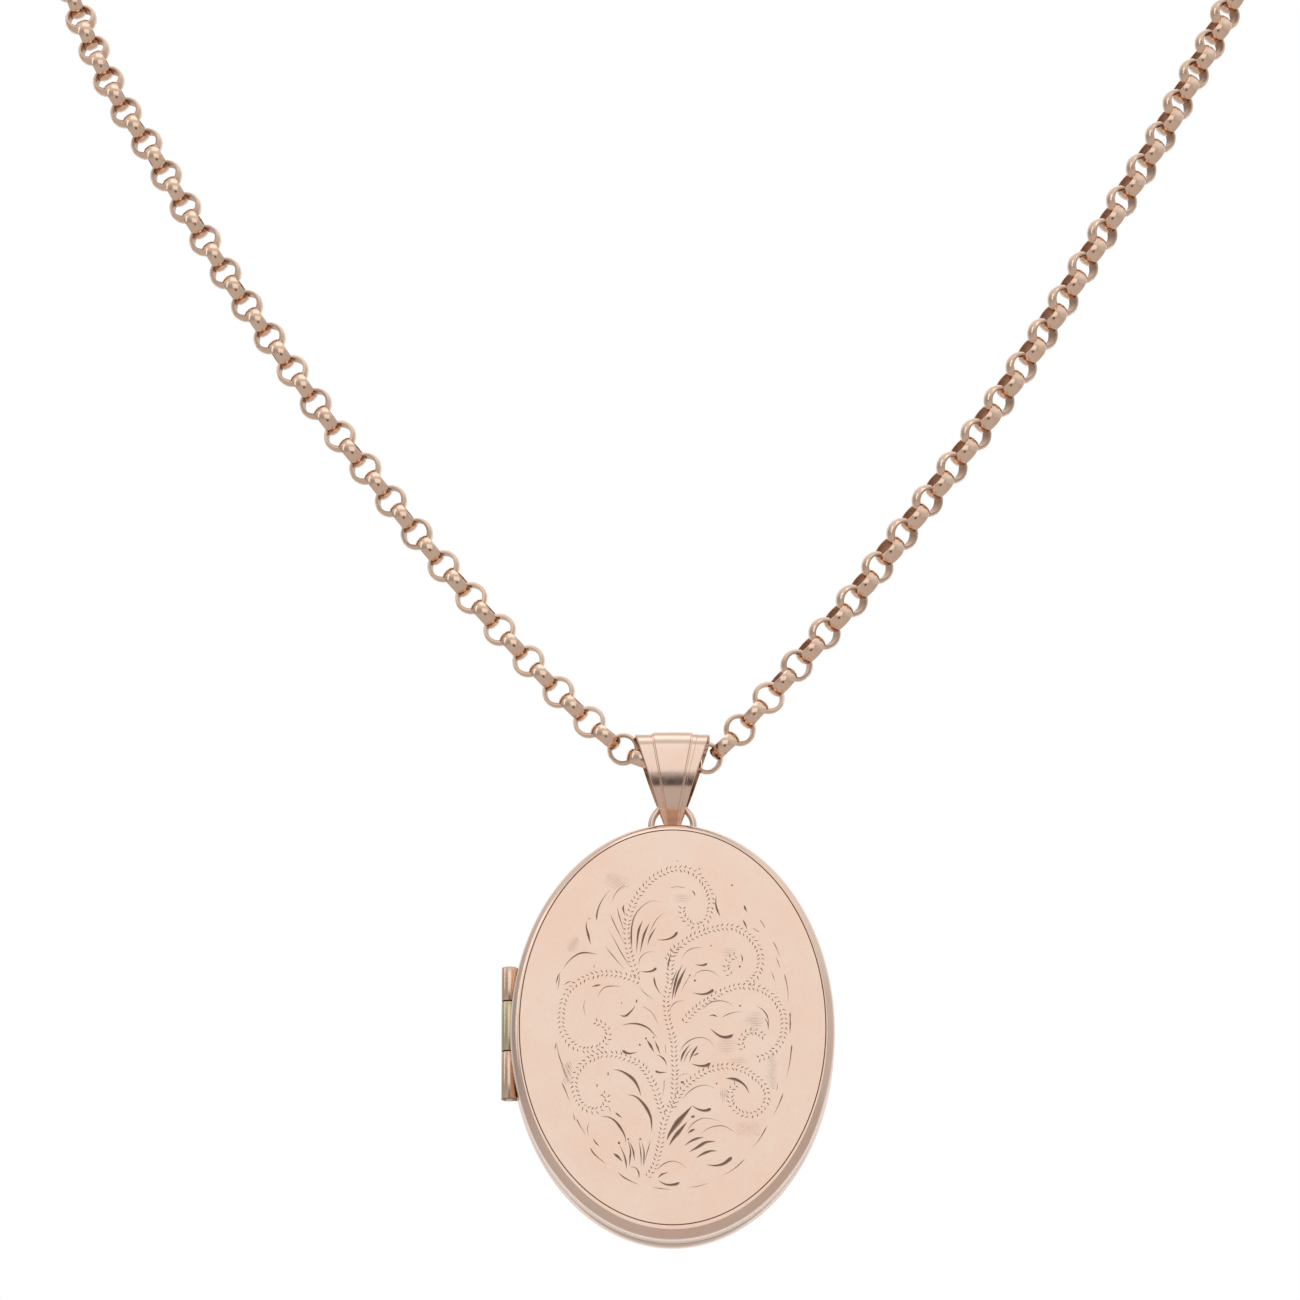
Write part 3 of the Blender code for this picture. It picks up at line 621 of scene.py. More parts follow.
def wire_rows(points, radii, sides=16):
    """Round sections square to a line through points, with a thickness for each."""
    rows = []
    side = Vector((0, 1, 0))
    padded = [points[0] * 2 - points[1], *points, points[-1] * 2 - points[-2]]
    for before, point, after, radius in zip(padded, points, padded[2:], radii):
        along = (after - before).normalized()
        side = (side - along * side.dot(along)).normalized()
        third = along.cross(side)
        turns = [math.tau * step / sides for step in range(sides)]
        rows.append([point + (side * math.cos(turn) + third * math.sin(turn)) * radius for turn in turns])
    return rows


loop_centre = Vector((0, BAIL_AXIS.y, LOOP_TOP - LOOP_RADIUS))
outer_leg = (LOOP_RADIUS - LOOP_WIRE) / (CASE_WIDTH / 2)
loop_foot = case_centre.z + CASE_HEIGHT / 2 * math.sqrt(1 - outer_leg**2) + FIT_GAP
arch = []
for step in range(ARCH_STEPS + 1):
    turn = math.pi * step / ARCH_STEPS
    arch.append(loop_centre + Vector((math.cos(turn), 0, math.sin(turn))) * LOOP_RADIUS)
legs, flare = [], []
for step in range(FOOT_STEPS + 1):
    legs.append(Vector((LOOP_RADIUS, BAIL_AXIS.y, loop_foot + SOLDER_HEIGHT * step / FOOT_STEPS)))
    flare.append(LOOP_WIRE + SOLDER_FLARE * (1 - step / FOOT_STEPS) ** 2)
staple = legs + arch + [Vector((-point.x, point.y, point.z)) for point in reversed(legs)]
loop_mesh = skin("hanging_loop", wire_rows(staple, flare + [LOOP_WIRE] * len(arch) + flare[::-1]))
darken(loop_mesh, lambda spot: min(1.0, max(0.0, 1 - (spot.z - loop_foot) / (0.5 * MM))) * SOLDER_STAIN)
loop_gold = gold("loop_rose_gold", (0.88, 0.70, 0.58), 0.14, 700, 0.2, (0.34, 0.18, 0.1))
loop_mesh.materials.append(loop_gold)
adopt("hanging_loop", loop_mesh, "locket_back", "case_gold", "top_loop")

# The back half: a shallow oval pan pressed from sheet, its edge rolled round to a flat back and
# grooved on the left for the hinge. Plain and polished, with a line struck round the flat.
HALF_DEPTH = 3.3 * MM
SHELL_WALL = 0.5 * MM
FACE_INSET = 0.72 * MM
EDGE_TURN = math.radians(60)
OVAL_POINTS = 240
EDGE_ROWS = 10
EDGE_RADIUS = FACE_INSET / (1 - math.cos(EDGE_TURN))
EDGE_START = HALF_DEPTH - EDGE_RADIUS * math.sin(EDGE_TURN)
FLOOR_DEPTH = HALF_DEPTH - SHELL_WALL
CREASE_INSET = 0.86 * MM
CREASE_HALF = 0.06 * MM
CREASE_DEPTH = 0.07 * MM
FACE_SHORTER = 0.09 * MM
FACE_LIFT = 0.18 * MM
SEAM_ROUND = 0.07 * MM
SEAM_SHADE = 0.95
HINGE_RISE = 0.2 * MM
HINGE_AXIS = Vector((-CASE_WIDTH / 2 - 0.1 * MM, case_centre.y, case_centre.z + HINGE_RISE))
HINGE_HALF = 6.58 * MM
KNUCKLE_RADIUS = 0.75 * MM
GROOVE_GAP = 0.08 * MM
ROUND_PART = 0.3


def oval(inset, depth, side, count=OVAL_POINTS):
    """A level line round the case, this far in from its outline and this far from the seam."""
    line = []
    for step in range(count):
        turn = math.tau * step / count
        across, up = (CASE_WIDTH / 2 - inset) * math.cos(turn), (CASE_HEIGHT / 2 - inset) * math.sin(turn)
        if inset > FACE_INSET and depth > FLOOR_DEPTH:
            up += FACE_LIFT - FACE_SHORTER * math.sin(turn)
        line.append(case_centre + Vector((across, side * depth, up)))
    return line


def half_lines():
    """One half from the middle of its floor's edge, over the rim, to its flat outer face."""
    inner_radius = EDGE_RADIUS - SHELL_WALL
    inner_turn = math.asin((FLOOR_DEPTH - EDGE_START) / inner_radius)
    lines = []
    for step in range(EDGE_ROWS, -1, -1):
        turn = inner_turn * step / EDGE_ROWS
        inset = EDGE_RADIUS - inner_radius * math.cos(turn)
        lines.append((inset, EDGE_START + inner_radius * math.sin(turn)))
    lines += [(SHELL_WALL, SEAM_HALF_GAP), (SEAM_ROUND, SEAM_HALF_GAP)]
    lines += [(SEAM_ROUND * ROUND_PART, SEAM_HALF_GAP + SEAM_ROUND * ROUND_PART)]
    lines += [(0, SEAM_HALF_GAP + SEAM_ROUND)]
    for step in range(EDGE_ROWS + 1):
        turn = EDGE_TURN * step / EDGE_ROWS
        lines.append((EDGE_RADIUS * (1 - math.cos(turn)), EDGE_START + EDGE_RADIUS * math.sin(turn)))
    lines += [(CREASE_INSET - CREASE_HALF, HALF_DEPTH), (CREASE_INSET, HALF_DEPTH - CREASE_DEPTH)]
    lines += [(CREASE_INSET + CREASE_HALF, HALF_DEPTH)]
    return lines


def grooved(data, cutter):
    """The mesh with the cutter's shape taken out of it."""
    raw = bpy.data.objects.new("raw", data)
    tool = bpy.data.objects.new("tool", cutter)
    for each in (raw, tool):
        bpy.context.scene.collection.objects.link(each)
    cut = raw.modifiers.new("groove", "BOOLEAN")
    cut.operation = "DIFFERENCE"
    cut.object = tool
    made = bpy.data.meshes.new_from_object(raw.evaluated_get(bpy.context.evaluated_depsgraph_get()))
    made.name = data.name
    bpy.data.objects.remove(raw)
    bpy.data.objects.remove(tool)
    return made


def upright_rod(name, lines, steps=32):
    """A round bar on the hinge's axis, through heights that each have a radius."""
    turns = [math.tau * step / steps for step in range(steps)]
    rows = []
    for z, r in lines:
        rows.append([HINGE_AXIS + Vector((r * math.cos(turn), r * math.sin(turn), z)) for turn in turns])
    return skin(name, rows)


def hinge_groove():
    """The room that the hinge takes, to be cut out of whatever it passes."""
    reach, radius = HINGE_HALF + GROOVE_GAP, KNUCKLE_RADIUS + GROOVE_GAP
    return upright_rod("hinge_groove", [(-reach, radius), (reach, radius)])


def case_tarnish_and_shade(spot):
    """Tarnishing in the struck line, and painted shade along the seam between the two halves."""
    depth = abs(spot.y - case_centre.y)
    if abs(depth - HALF_DEPTH + CREASE_DEPTH) < 0.01 * MM:
        return 1.0
    return SEAM_SHADE if depth < SEAM_HALF_GAP + SEAM_ROUND * 0.5 else 0.0


# The case's darkening colour serves the tarnishing in the cuts and struck line and the painted shade along
# the seam.
case_gold = gold("case_rose_gold", (0.90, 0.70, 0.58), 0.17, 260, 0.35, (0.22, 0.12, 0.08))
back_mesh = skin("back_case", [oval(inset, depth, 1) for inset, depth in half_lines()])
back_mesh = grooved(back_mesh, hinge_groove())
# Painted shade along the seam, with tarnishing in the struck line.
darken(back_mesh, case_tarnish_and_shade)
back_mesh.materials.append(case_gold)
adopt("back_case", back_mesh, "locket_back", "case_gold", "back_shell")

# The engraved front half: the same pan, its face cut by hand with a graver. Long tapering V cuts
# make the leaves and scrolls, and paired ticks line every scroll. The cuts hold dark tarnish.
CUT_SLOPE = 0.42
CUT_GROWN = 1.15
CUT_LEAST = 0.004 * MM
CUT_SHALLOWEST = 0.0005 * MM
CUT_DARK = 0.95
CUT_PALEST = 0.55
DARK_DEPTH = 0.035 * MM
HATCH_STAIN = 0.4
# Each stroke: its width, how far along it is widest (-1 where it is even), and its line, in
# millimetres from the middle of the face.
STROKES = (
    (0.14, 0.1, (-7.05, 10.27), (-7.05, 10.89), (-6.77, 11.83), (-6.27, 12.66), (-5.82, 13.19)),
    (0.07, 0.5, (-5.66, 12.04), (-5.36, 12.77), (-4.86, 13.39), (-4.20, 13.71)),
    (0.06, -1, (-7.98, 10.37), (-7.58, 10.53)),
    (0.20, 0.6, (-8.03, 10.27), (-8.03, 9.64), (-7.88, 9.01), (-7.73, 8.39), (-7.63, 7.97)),
    (0.16, 0.65, (-10.20, 5.57), (-9.79, 6.25), (-9.19, 6.82), (-8.59, 7.14), (-7.88, 7.19), (-6.97, 7.03)),
    (0.12, 0.5, (-10.85, 4.11), (-10.65, 4.95), (-10.40, 5.36)),
    (0.08, 0.5, (-10.70, 3.59), (-10.55, 4.53), (-10.50, 5.16)),
    (0.09, 0.2, (-5.79, 10.89), (-5.46, 10.06), (-4.96, 9.01), (-4.41, 7.87)),
    (0.09, 0.6, (-5.97, 9.43), (-5.46, 8.49), (-4.86, 7.35), (-4.25, 6.30), (-3.85, 5.73)),
    (0.09, 0.4, (-6.32, 7.87), (-5.66, 7.03), (-5.06, 6.30), (-4.46, 5.57)),
    (0.09, 0.4, (-5.18, 11.62), (-4.96, 10.68), (-4.71, 9.85), (-4.56, 9.22)),
    (0.16, 0.4, (-4.51, 11.83), (-4.61, 11.41), (-4.44, 10.79)),
    (
        0.14, 0.15, (-3.79, 7.55), (-3.85, 8.60), (-3.79, 9.74), (-3.55, 10.68), (-3.05, 11.41),
        (-2.44, 11.93), (-1.84, 12.16), (-1.03, 12.04),
    ),
    (0.20, 0.3, (-2.79, 10.27), (-3.13, 9.43), (-3.28, 8.39), (-3.35, 7.14)),
    (0.20, 0.4, (-2.14, 10.06), (-2.62, 9.01), (-2.87, 7.97), (-3.02, 7.14)),
    (0.16, 0.5, (-1.53, 9.64), (-2.09, 8.70), (-2.34, 7.87)),
    (0.07, 0.5, (-0.63, 11.05), (-1.23, 10.68), (-1.63, 10.16), (-1.99, 9.43), (-2.29, 8.81)),
    (0.24, 0.93, (-1.53, 8.44), (-0.83, 8.42), (-0.22, 8.55), (0.23, 8.86), (0.43, 9.22)),
    (0.07, 0.3, (-3.15, 5.99), (-3.05, 6.62), (-2.64, 7.09), (-2.14, 7.29), (-1.53, 7.24)),
    (0.24, 0.93, (-3.05, 5.42), (-2.44, 5.36), (-1.84, 5.47), (-1.48, 5.78)),
    (0.16, 0.2, (-1.74, 4.95), (-1.63, 4.22), (-1.33, 3.59), (-1.03, 3.17)),
    (0.10, 0.6, (-6.97, 2.86), (-6.77, 3.38), (-6.37, 3.85), (-5.76, 4.01), (-4.71, 3.98)),
    (0.18, 0.6, (-7.58, 3.93), (-7.07, 4.06), (-6.62, 4.14)),
    (0.20, 0.35, (-4.91, 1.24), (-4.41, 1.14), (-3.95, 1.51), (-3.60, 1.92), (-3.50, 2.18)),
    (0.16, 0.5, (-3.40, 2.39), (-3.30, 2.76)),
    (0.07, 0.5, (-3.15, 4.01), (-2.64, 3.38), (-2.14, 2.97), (-1.79, 2.65)),
    (0.06, 0.5, (-8.08, 1.19), (-8.26, 1.92), (-8.16, 2.76)),
    (0.05, -1, (-2.84, 2.13), (-1.94, 1.51), (-1.38, 0.46)),
    (0.09, 0.4, (-7.33, 5.73), (-7.26, 6.04)),
    (0.09, 0.5, (-10.15, 4.06), (-9.74, 4.37), (-9.29, 4.48)),
    (0.08, 0.5, (-4.76, 2.24), (-4.72, 2.55)),
    (0.18, 0.7, (4.09, 12.66), (4.02, 12.04), (4.12, 11.41), (4.43, 10.68)),
    (0.20, 0.4, (6.67, 11.78), (6.77, 11.41), (6.94, 11.10)),
    (0.16, 0.4, (6.54, 10.37), (6.79, 9.85), (6.94, 9.43)),
    (0.06, -1, (7.50, 9.56), (7.80, 9.33), (8.10, 9.17)),
    (0.06, -1, (8.10, 10.37), (8.41, 9.95), (8.61, 9.54)),
    (0.09, 0.05, (9.36, 8.28), (9.71, 7.55), (10.02, 6.72)),
    (0.07, 0.5, (9.61, 6.82), (9.82, 6.30), (10.00, 5.68)),
    (0.09, 0.05, (10.37, 5.21), (10.62, 4.22), (10.74, 3.17), (10.72, 2.34)),
    (0.12, 0.05, (10.92, 1.56), (10.92, 0.88), (10.92, 0.17)),
    (0.07, 0.5, (9.16, 5.47), (9.36, 4.95), (9.51, 4.43)),
    (0.08, 0.5, (0.90, 6.72), (1.25, 7.24), (1.86, 7.61), (2.86, 7.73)),
    (0.22, 0.9, (2.06, 6.09), (2.56, 5.99), (3.02, 6.04), (3.22, 6.20)),
    (0.08, 0.5, (1.91, 4.74), (2.26, 5.26), (2.76, 5.49), (3.47, 5.47), (3.97, 5.21), (4.38, 4.84)),
    (0.28, 0.9, (1.86, 3.38), (2.56, 3.23), (3.17, 3.28), (3.67, 3.54), (3.77, 3.75)),
    (0.22, 0.5, (0.95, 6.09), (0.45, 5.05), (0.12, 3.70), (-0.06, 2.65)),
    (0.26, 0.5, (1.30, 5.83), (0.75, 4.74), (0.37, 3.70), (0.16, 2.86)),
    (0.10, 0.5, (0.50, 5.68), (0.09, 4.74), (-0.14, 3.70)),
    (0.14, 0.5, (-0.16, 7.14), (-0.36, 6.30), (-0.48, 5.47)),
    (0.06, 0.5, (1.76, 5.26), (1.15, 4.22), (0.75, 3.38)),
    (0.10, 0.4, (2.76, 1.77), (3.27, 2.24), (3.77, 2.53), (4.48, 2.60), (5.18, 2.44), (5.69, 2.03)),
    (0.16, 0.6, (3.37, 1.14), (3.77, 1.24), (4.19, 1.07)),
    (0.09, 0.3, (4.53, 0.98), (5.08, 1.30), (5.79, 1.51), (6.49, 1.58)),
    (0.14, -1, (1.58, 5.01), (1.62, 5.11)),
    (0.20, -1, (1.98, 4.49), (2.18, 4.57)),
    (0.12, -1, (3.57, 7.78), (3.59, 7.95)),
    (0.16, -1, (6.29, 2.03), (6.26, 2.24)),
    (0.20, -1, (6.15, 5.87), (6.35, 5.87)),
    (0.12, -1, (0.41, 15.96), (0.49, 16.02)),
    (0.14, -1, (2.44, 15.19), (2.56, 15.25)),
    (0.18, -1, (5.46, 13.62), (5.62, 13.69)),
    (0.08, 0.5, (-0.26, 1.51), (-0.14, 2.03), (0.35, 2.50), (1.10, 2.65)),
    (0.12, 0.5, (1.76, 13.19), (2.01, 12.93), (2.11, 12.61)),
    (0.05, -1, (-0.26, 13.39), (0.45, 13.52), (1.25, 13.39)),
    (0.12, 0.5, (7.80, 2.13), (8.41, 1.71), (8.81, 1.09), (8.96, 0.25)),
    (0.12, 0.6, (6.29, 7.14), (6.49, 6.72), (6.47, 6.25)),
    (0.19, 0.45, (-4.76, 0.25), (-4.02, 0.42), (-3.16, 0.38), (-2.31, 0.03), (-1.78, -0.52), (-1.41, -0.96)),
    (0.26, 0.12, (-4.68, -2.10), (-4.34, -2.34), (-3.91, -2.42), (-3.25, -2.27)),
    (0.15, 0.5, (-1.51, -2.56), (-1.14, -2.67), (-0.77, -3.01), (-0.53, -3.56)),
    (0.21, 0.12, (-1.62, -4.05), (-1.25, -4.22), (-0.50, -4.20)),
    (0.06, 0.1, (-0.77, -4.83), (-0.82, -5.71), (-0.93, -6.59)),
    (0.06, 0.5, (-0.71, -1.46), (-0.61, -2.51)),
    (0.19, -1, (-2.57, -1.01), (-2.38, -0.94)),
    (0.15, -1, (-1.84, -0.92), (-1.71, -0.85)),
    (0.19, -1, (-3.12, -1.65), (-2.97, -1.51)),
    (0.23, 0.5, (-2.42, -1.07), (-2.04, -1.68), (-1.73, -2.29)),
    (0.15, 0.5, (-1.67, -1.13), (-1.41, -1.79), (-1.14, -2.51)),
    (
        0.28, 0.5, (-5.51, -3.94), (-4.87, -4.05), (-4.23, -4.39), (-3.59, -4.94), (-3.16, -5.71),
        (-2.93, -6.48),
    ),
    (
        0.28, 0.5, (-4.23, -6.32), (-3.48, -6.48), (-2.84, -7.04), (-2.31, -7.81), (-1.99, -8.69),
        (-1.94, -9.85),
    ),
    (0.17, 0.3, (-5.32, -8.01), (-4.98, -8.31), (-4.64, -8.55)),
    (
        0.21, 0.55, (-6.68, -8.36), (-5.94, -8.45), (-5.30, -8.86), (-4.76, -9.58), (-4.44, -10.24),
        (-4.32, -10.90),
    ),
    (0.06, 0.5, (-7.70, -8.91), (-7.91, -9.46), (-7.80, -10.24)),
    (0.10, 0.1, (-8.92, -8.58), (-8.60, -9.24), (-7.99, -10.22)),
    (0.09, 0.5, (-9.22, -8.08), (-9.03, -8.86)),
    (0.13, 0.6, (-7.43, -10.40), (-7.11, -10.90), (-6.76, -11.23)),
    (0.13, 0.15, (-7.64, -11.34), (-7.22, -12.00), (-6.10, -12.96)),
    (0.26, -1, (-5.08, -10.94), (-4.85, -10.86)),
    (0.17, -1, (-4.21, -10.55), (-4.02, -10.52)),
    (0.17, -1, (-3.10, -10.55), (-2.89, -10.52)),
    (0.26, 0.35, (-5.51, -11.87), (-5.08, -12.20), (-4.64, -12.69)),
    (0.15, 0.7, (-4.98, -11.01), (-4.55, -11.89), (-4.34, -12.67), (-4.27, -13.38)),
    (0.15, 0.6, (-4.15, -10.68), (-3.91, -11.56), (-3.96, -12.45), (-4.00, -13.11)),
    (0.15, 0.6, (-4.07, -10.68), (-3.68, -11.56), (-3.53, -12.61)),
    (0.11, 0.5, (-3.11, -10.68), (-2.95, -11.89), (-2.90, -13.11)),
    (0.13, 0.6, (-2.90, -10.73), (-2.65, -11.78), (-2.72, -13.11)),
    (0.09, 0.3, (-2.04, -10.62), (-2.39, -11.89), (-2.68, -13.00)),
    (0.13, 0.7, (-4.02, -13.16), (-3.48, -13.22), (-3.16, -13.66), (-3.10, -14.23)),
    (0.13, 0.3, (-5.08, -13.66), (-4.44, -14.21), (-3.06, -14.90)),
    (0.09, 0.4, (-1.88, -15.04), (-1.14, -15.21), (-0.07, -15.32)),
    (
        0.10, 0.3, (-1.46, -13.55), (-1.14, -13.11), (-0.50, -12.72), (0.09, -12.63),
        (0.73, -12.83), (1.26, -13.27),
    ),
    (0.17, 0.4, (-1.35, -14.23), (-1.03, -13.88), (-0.37, -13.68)),
    (0.28, 0.85, (-1.35, -14.43), (-0.71, -14.80), (-0.07, -14.87), (0.46, -14.74), (0.65, -14.60)),
    (0.06, 0.5, (-5.94, -7.37), (-5.72, -8.08)),
    (0.11, 0.5, (-10.95, -2.07), (-10.79, -1.35)),
    (0.09, 0.4, (-10.78, -1.40), (-10.58, -2.51), (-10.20, -3.61), (-9.78, -4.61), (-9.35, -5.38)),
    (0.07, 0.5, (-10.36, -3.50), (-9.99, -4.39), (-9.54, -5.32)),
    (0.06, 0.5, (-10.10, -3.23), (-9.78, -3.89), (-9.35, -4.66)),
    (0.06, 0.5, (-9.88, -3.12), (-9.62, -3.72), (-9.24, -4.33)),
    (0.11, 0.15, (-10.29, -5.16), (-9.94, -5.93), (-9.50, -7.12)),
    (0.10, -1, (-7.05, -5.62), (-6.98, -5.27)),
    (0.10, -1, (-6.00, -4.55), (-5.98, -4.16)),
    (0.49, 0.5, (1.80, -7.37), (1.26, -8.03), (0.62, -8.75), (0.09, -9.46), (-0.34, -10.13), (-0.55, -10.68)),
    (0.36, 0.5, (1.37, -8.86), (0.62, -9.80), (0.01, -10.57), (-0.34, -11.18)),
    (0.30, 0.9, (1.74, -7.31), (2.33, -7.70), (2.97, -7.85), (3.40, -7.73), (3.58, -7.62)),
    (0.21, -1, (1.67, -8.49), (2.08, -8.33)),
    (0.23, 0.6, (1.37, -10.02), (1.74, -9.74), (2.10, -9.58)),
    (0.23, 0.6, (1.03, -11.20), (1.69, -10.73), (2.33, -10.46), (2.92, -10.35)),
    (0.30, 0.5, (1.48, -11.78), (2.33, -11.29), (3.08, -10.84), (4.04, -10.75)),
    (0.26, 0.5, (2.12, -12.36), (2.76, -11.95), (3.50, -11.67), (4.17, -11.67)),
    (0.34, 0.9, (3.08, -12.94), (3.93, -13.05), (4.68, -12.89), (5.21, -12.50), (5.50, -12.22)),
    (0.09, 0.3, (1.32, -9.80), (1.80, -9.13), (2.54, -8.64), (3.29, -8.56), (4.46, -8.86)),
    (0.09, 0.5, (2.54, -10.13), (3.18, -9.58), (4.04, -9.30), (4.89, -9.35), (5.85, -9.96)),
    (0.10, 0.8, (4.46, -13.99), (5.21, -13.66), (5.96, -13.11), (6.70, -12.39)),
    (0.07, 0.5, (1.26, -15.07), (2.12, -15.04), (3.40, -14.68)),
    (0.11, 0.9, (7.40, -11.34), (8.09, -10.46), (8.78, -9.24)),
    (0.11, 0.9, (9.32, -8.31), (9.80, -7.37), (10.28, -6.13)),
    (0.11, 0.9, (10.54, -4.72), (10.81, -3.61), (10.97, -2.51), (11.08, -1.51)),
    (0.13, 0.4, (10.92, 1.13), (10.93, 0.36), (10.89, -0.52)),
    (0.32, 0.85, (3.50, -0.02), (4.04, -0.52), (4.57, -0.83), (5.21, -0.85), (5.66, -0.58)),
    (0.10, 0.3, (0.62, -2.29), (1.16, -1.51), (1.90, -1.02), (2.76, -0.89), (3.50, -1.24), (3.85, -1.90)),
    (0.21, 0.4, (0.73, -3.28), (1.00, -2.40), (1.64, -1.51)),
    (0.09, 0.5, (1.00, -3.39), (1.32, -2.51), (1.90, -1.79)),
    (0.21, 0.7, (1.53, -3.28), (1.80, -2.51), (2.35, -1.63)),
    (0.17, 0.6, (1.85, -2.67), (2.46, -2.34)),
    (0.30, 0.88, (1.69, -3.37), (2.44, -3.59), (3.13, -3.57), (3.53, -3.28)),
    (0.28, 0.3, (4.89, -4.77), (5.64, -4.83), (6.28, -5.10), (6.81, -5.60), (7.11, -6.28)),
    (0.09, 0.4, (0.84, -6.81), (1.58, -5.99), (2.33, -5.54), (3.18, -5.43), (3.95, -5.73)),
    (0.17, -1, (4.04, -5.34), (4.12, -5.20)),
    (0.19, -1, (0.75, -5.20), (0.94, -5.11)),
    (0.11, 0.6, (8.52, 1.02), (8.84, 0.47), (8.89, -0.19)),
    (0.06, 0.5, (9.74, -5.16), (9.69, -5.71), (9.53, -6.04)),
    (0.05, 0.5, (0.41, -4.72), (0.94, -4.39), (1.58, -4.33)),
)
# Each row of ticks: the line that they stand along, in millimetres from the middle of the face.
TICK_ROWS = (
    (
        (-3.23, 4.84), (-3.73, 6.09), (-4.07, 7.35), (-4.27, 8.81), (-4.23, 10.06), (-3.85, 11.41),
        (-3.27, 12.56), (-2.54, 13.60), (-1.63, 14.44), (-0.63, 14.98), (0.28, 15.25),
        (1.49, 15.12), (2.39, 14.54), (3.20, 13.50), (3.60, 12.35), (3.50, 11.31), (3.20, 10.37),
        (2.60, 9.85), (1.89, 9.80), (1.29, 10.27), (0.93, 10.89), (0.93, 11.62),
    ),
    (
        (-2.84, 4.43), (-3.65, 4.69), (-4.66, 5.05), (-5.66, 5.21), (-6.67, 5.21), (-7.78, 4.90),
        (-8.79, 4.37), (-9.59, 3.64), (-10.08, 2.76), (-10.30, 1.71), (-10.35, 0.67),
        (-10.25, -0.16), (-9.84, -1.00), (-9.19, -1.68), (-8.28, -2.04), (-7.38, -1.99),
        (-6.57, -1.62), (-6.07, -1.00), (-6.02, -0.27), (-6.47, 0.31), (-7.07, 0.57),
    ),
    (
        (-0.82, -8.25), (-1.25, -7.04), (-1.57, -5.93), (-1.94, -5.05), (-2.42, -4.16),
        (-3.06, -3.45), (-3.80, -3.01), (-4.66, -2.67), (-5.51, -2.49), (-6.36, -2.51),
        (-7.22, -2.73), (-7.96, -3.12), (-8.60, -3.72), (-9.01, -4.50), (-9.12, -5.38),
        (-8.98, -6.26), (-8.60, -7.09), (-7.96, -7.64), (-7.22, -7.83), (-6.52, -7.59),
        (-6.10, -7.04), (-6.15, -6.48), (-6.52, -6.15),
    ),
    (
        (-2.42, -14.27), (-1.83, -13.33), (-1.41, -12.22), (-1.14, -11.01), (-1.01, -9.91),
        (-0.77, -8.80), (-0.39, -7.92), (-0.02, -6.93), (0.14, -5.93), (0.19, -4.83), (0.19, -3.72),
        (0.14, -2.62), (0.09, -1.51), (-0.13, -0.41), (-0.39, 0.58), (-0.55, 1.58), (-0.61, 2.57),
        (-0.45, 3.56), (-0.26, 4.45), (-0.23, 5.55), (-0.07, 6.66), (0.35, 7.76),
    ),
    (
        (-0.56, 6.25), (0.04, 7.35), (0.85, 8.02), (1.76, 8.65), (2.66, 9.07), (3.67, 9.43),
        (4.68, 9.64), (5.69, 9.59), (6.59, 9.17), (7.40, 8.49), (7.95, 7.66), (8.20, 6.72),
        (8.10, 5.78), (7.75, 4.95), (7.15, 4.37),
    ),
    ((5.48, 4.90), (5.08, 5.47), (5.00, 6.09), (5.33, 6.62), (5.89, 6.98)),
    (
        (0.95, 0.41), (1.61, 1.30), (2.36, 1.98), (3.27, 2.65), (4.27, 3.28), (5.28, 3.75),
        (6.29, 4.01), (7.30, 3.96), (8.20, 3.70), (9.01, 3.23), (9.71, 2.44), (10.17, 1.61),
        (10.37, 0.67), (10.34, -0.16), (10.12, -1.10), (9.61, -1.94), (8.91, -2.56), (8.10, -2.87),
    ),
    ((6.70, -2.18), (6.36, -1.51), (6.49, -0.85), (7.02, -0.41), (7.77, -0.32), (8.46, -0.80)),
    (
        (-0.02, -7.70), (0.41, -6.59), (1.16, -5.49), (2.01, -4.72), (2.97, -4.11), (3.93, -3.78),
        (5.00, -3.63), (6.06, -3.78), (7.02, -4.22), (7.88, -4.83), (8.52, -5.60), (8.75, -6.48),
        (8.52, -7.37), (7.88, -8.03), (7.02, -8.25), (6.17, -7.97), (5.53, -7.37), (5.32, -6.59),
        (5.42, -5.82), (5.90, -5.38),
    ),
)
# Each hatched patch: its box, its lean in degrees, the gap between its lines and their width.
HATCH_PATCHES = (
    (-0.21, 11.93, 2.11, 12.82, 0, 0.16, 0.05),
    (4.22, 6.77, 6.34, 7.71, 0, 0.16, 0.05),
    (6.64, 0.17, 8.86, 1.61, 0, 0.16, 0.05),
    (6.06, -0.58, 8.68, 1.13, 0, 0.17, 0.05),
    (3.77, -2.40, 6.22, -0.85, 0, 0.16, 0.05),
    (5.00, -3.45, 7.40, -2.78, 0, 0.16, 0.05),
    (4.36, -7.26, 5.21, -5.49, 90, 0.16, 0.05),
    (5.64, -10.46, 8.30, -8.69, 35, 0.20, 0.05),
    (5.64, -10.46, 8.30, -8.69, -40, 0.20, 0.05),
    (8.62, -5.93, 9.90, -2.18, 20, 0.16, 0.06),
    (-9.90, 7.14, -8.59, 8.81, -45, 0.16, 0.06),
    (-6.47, 13.08, -3.85, 14.96, 40, 0.20, 0.05),
    (-10.31, -5.49, -9.14, -3.06, -50, 0.20, 0.06),
)
HATCH_STEP_MM = 0.1
HATCH_REACH = 40
HATCH_FEWEST = 3
TICK_STEP = 0.44 * MM
TICK_LENGTH = 0.40 * MM
TICK_WIDTH = 0.12 * MM
TICK_ROOT = 0.0638 * MM
TICK_LEAN = 52
STROKE_BENDS = 3
TICK_ROW_BENDS = 6
END_SHARE = 0.12
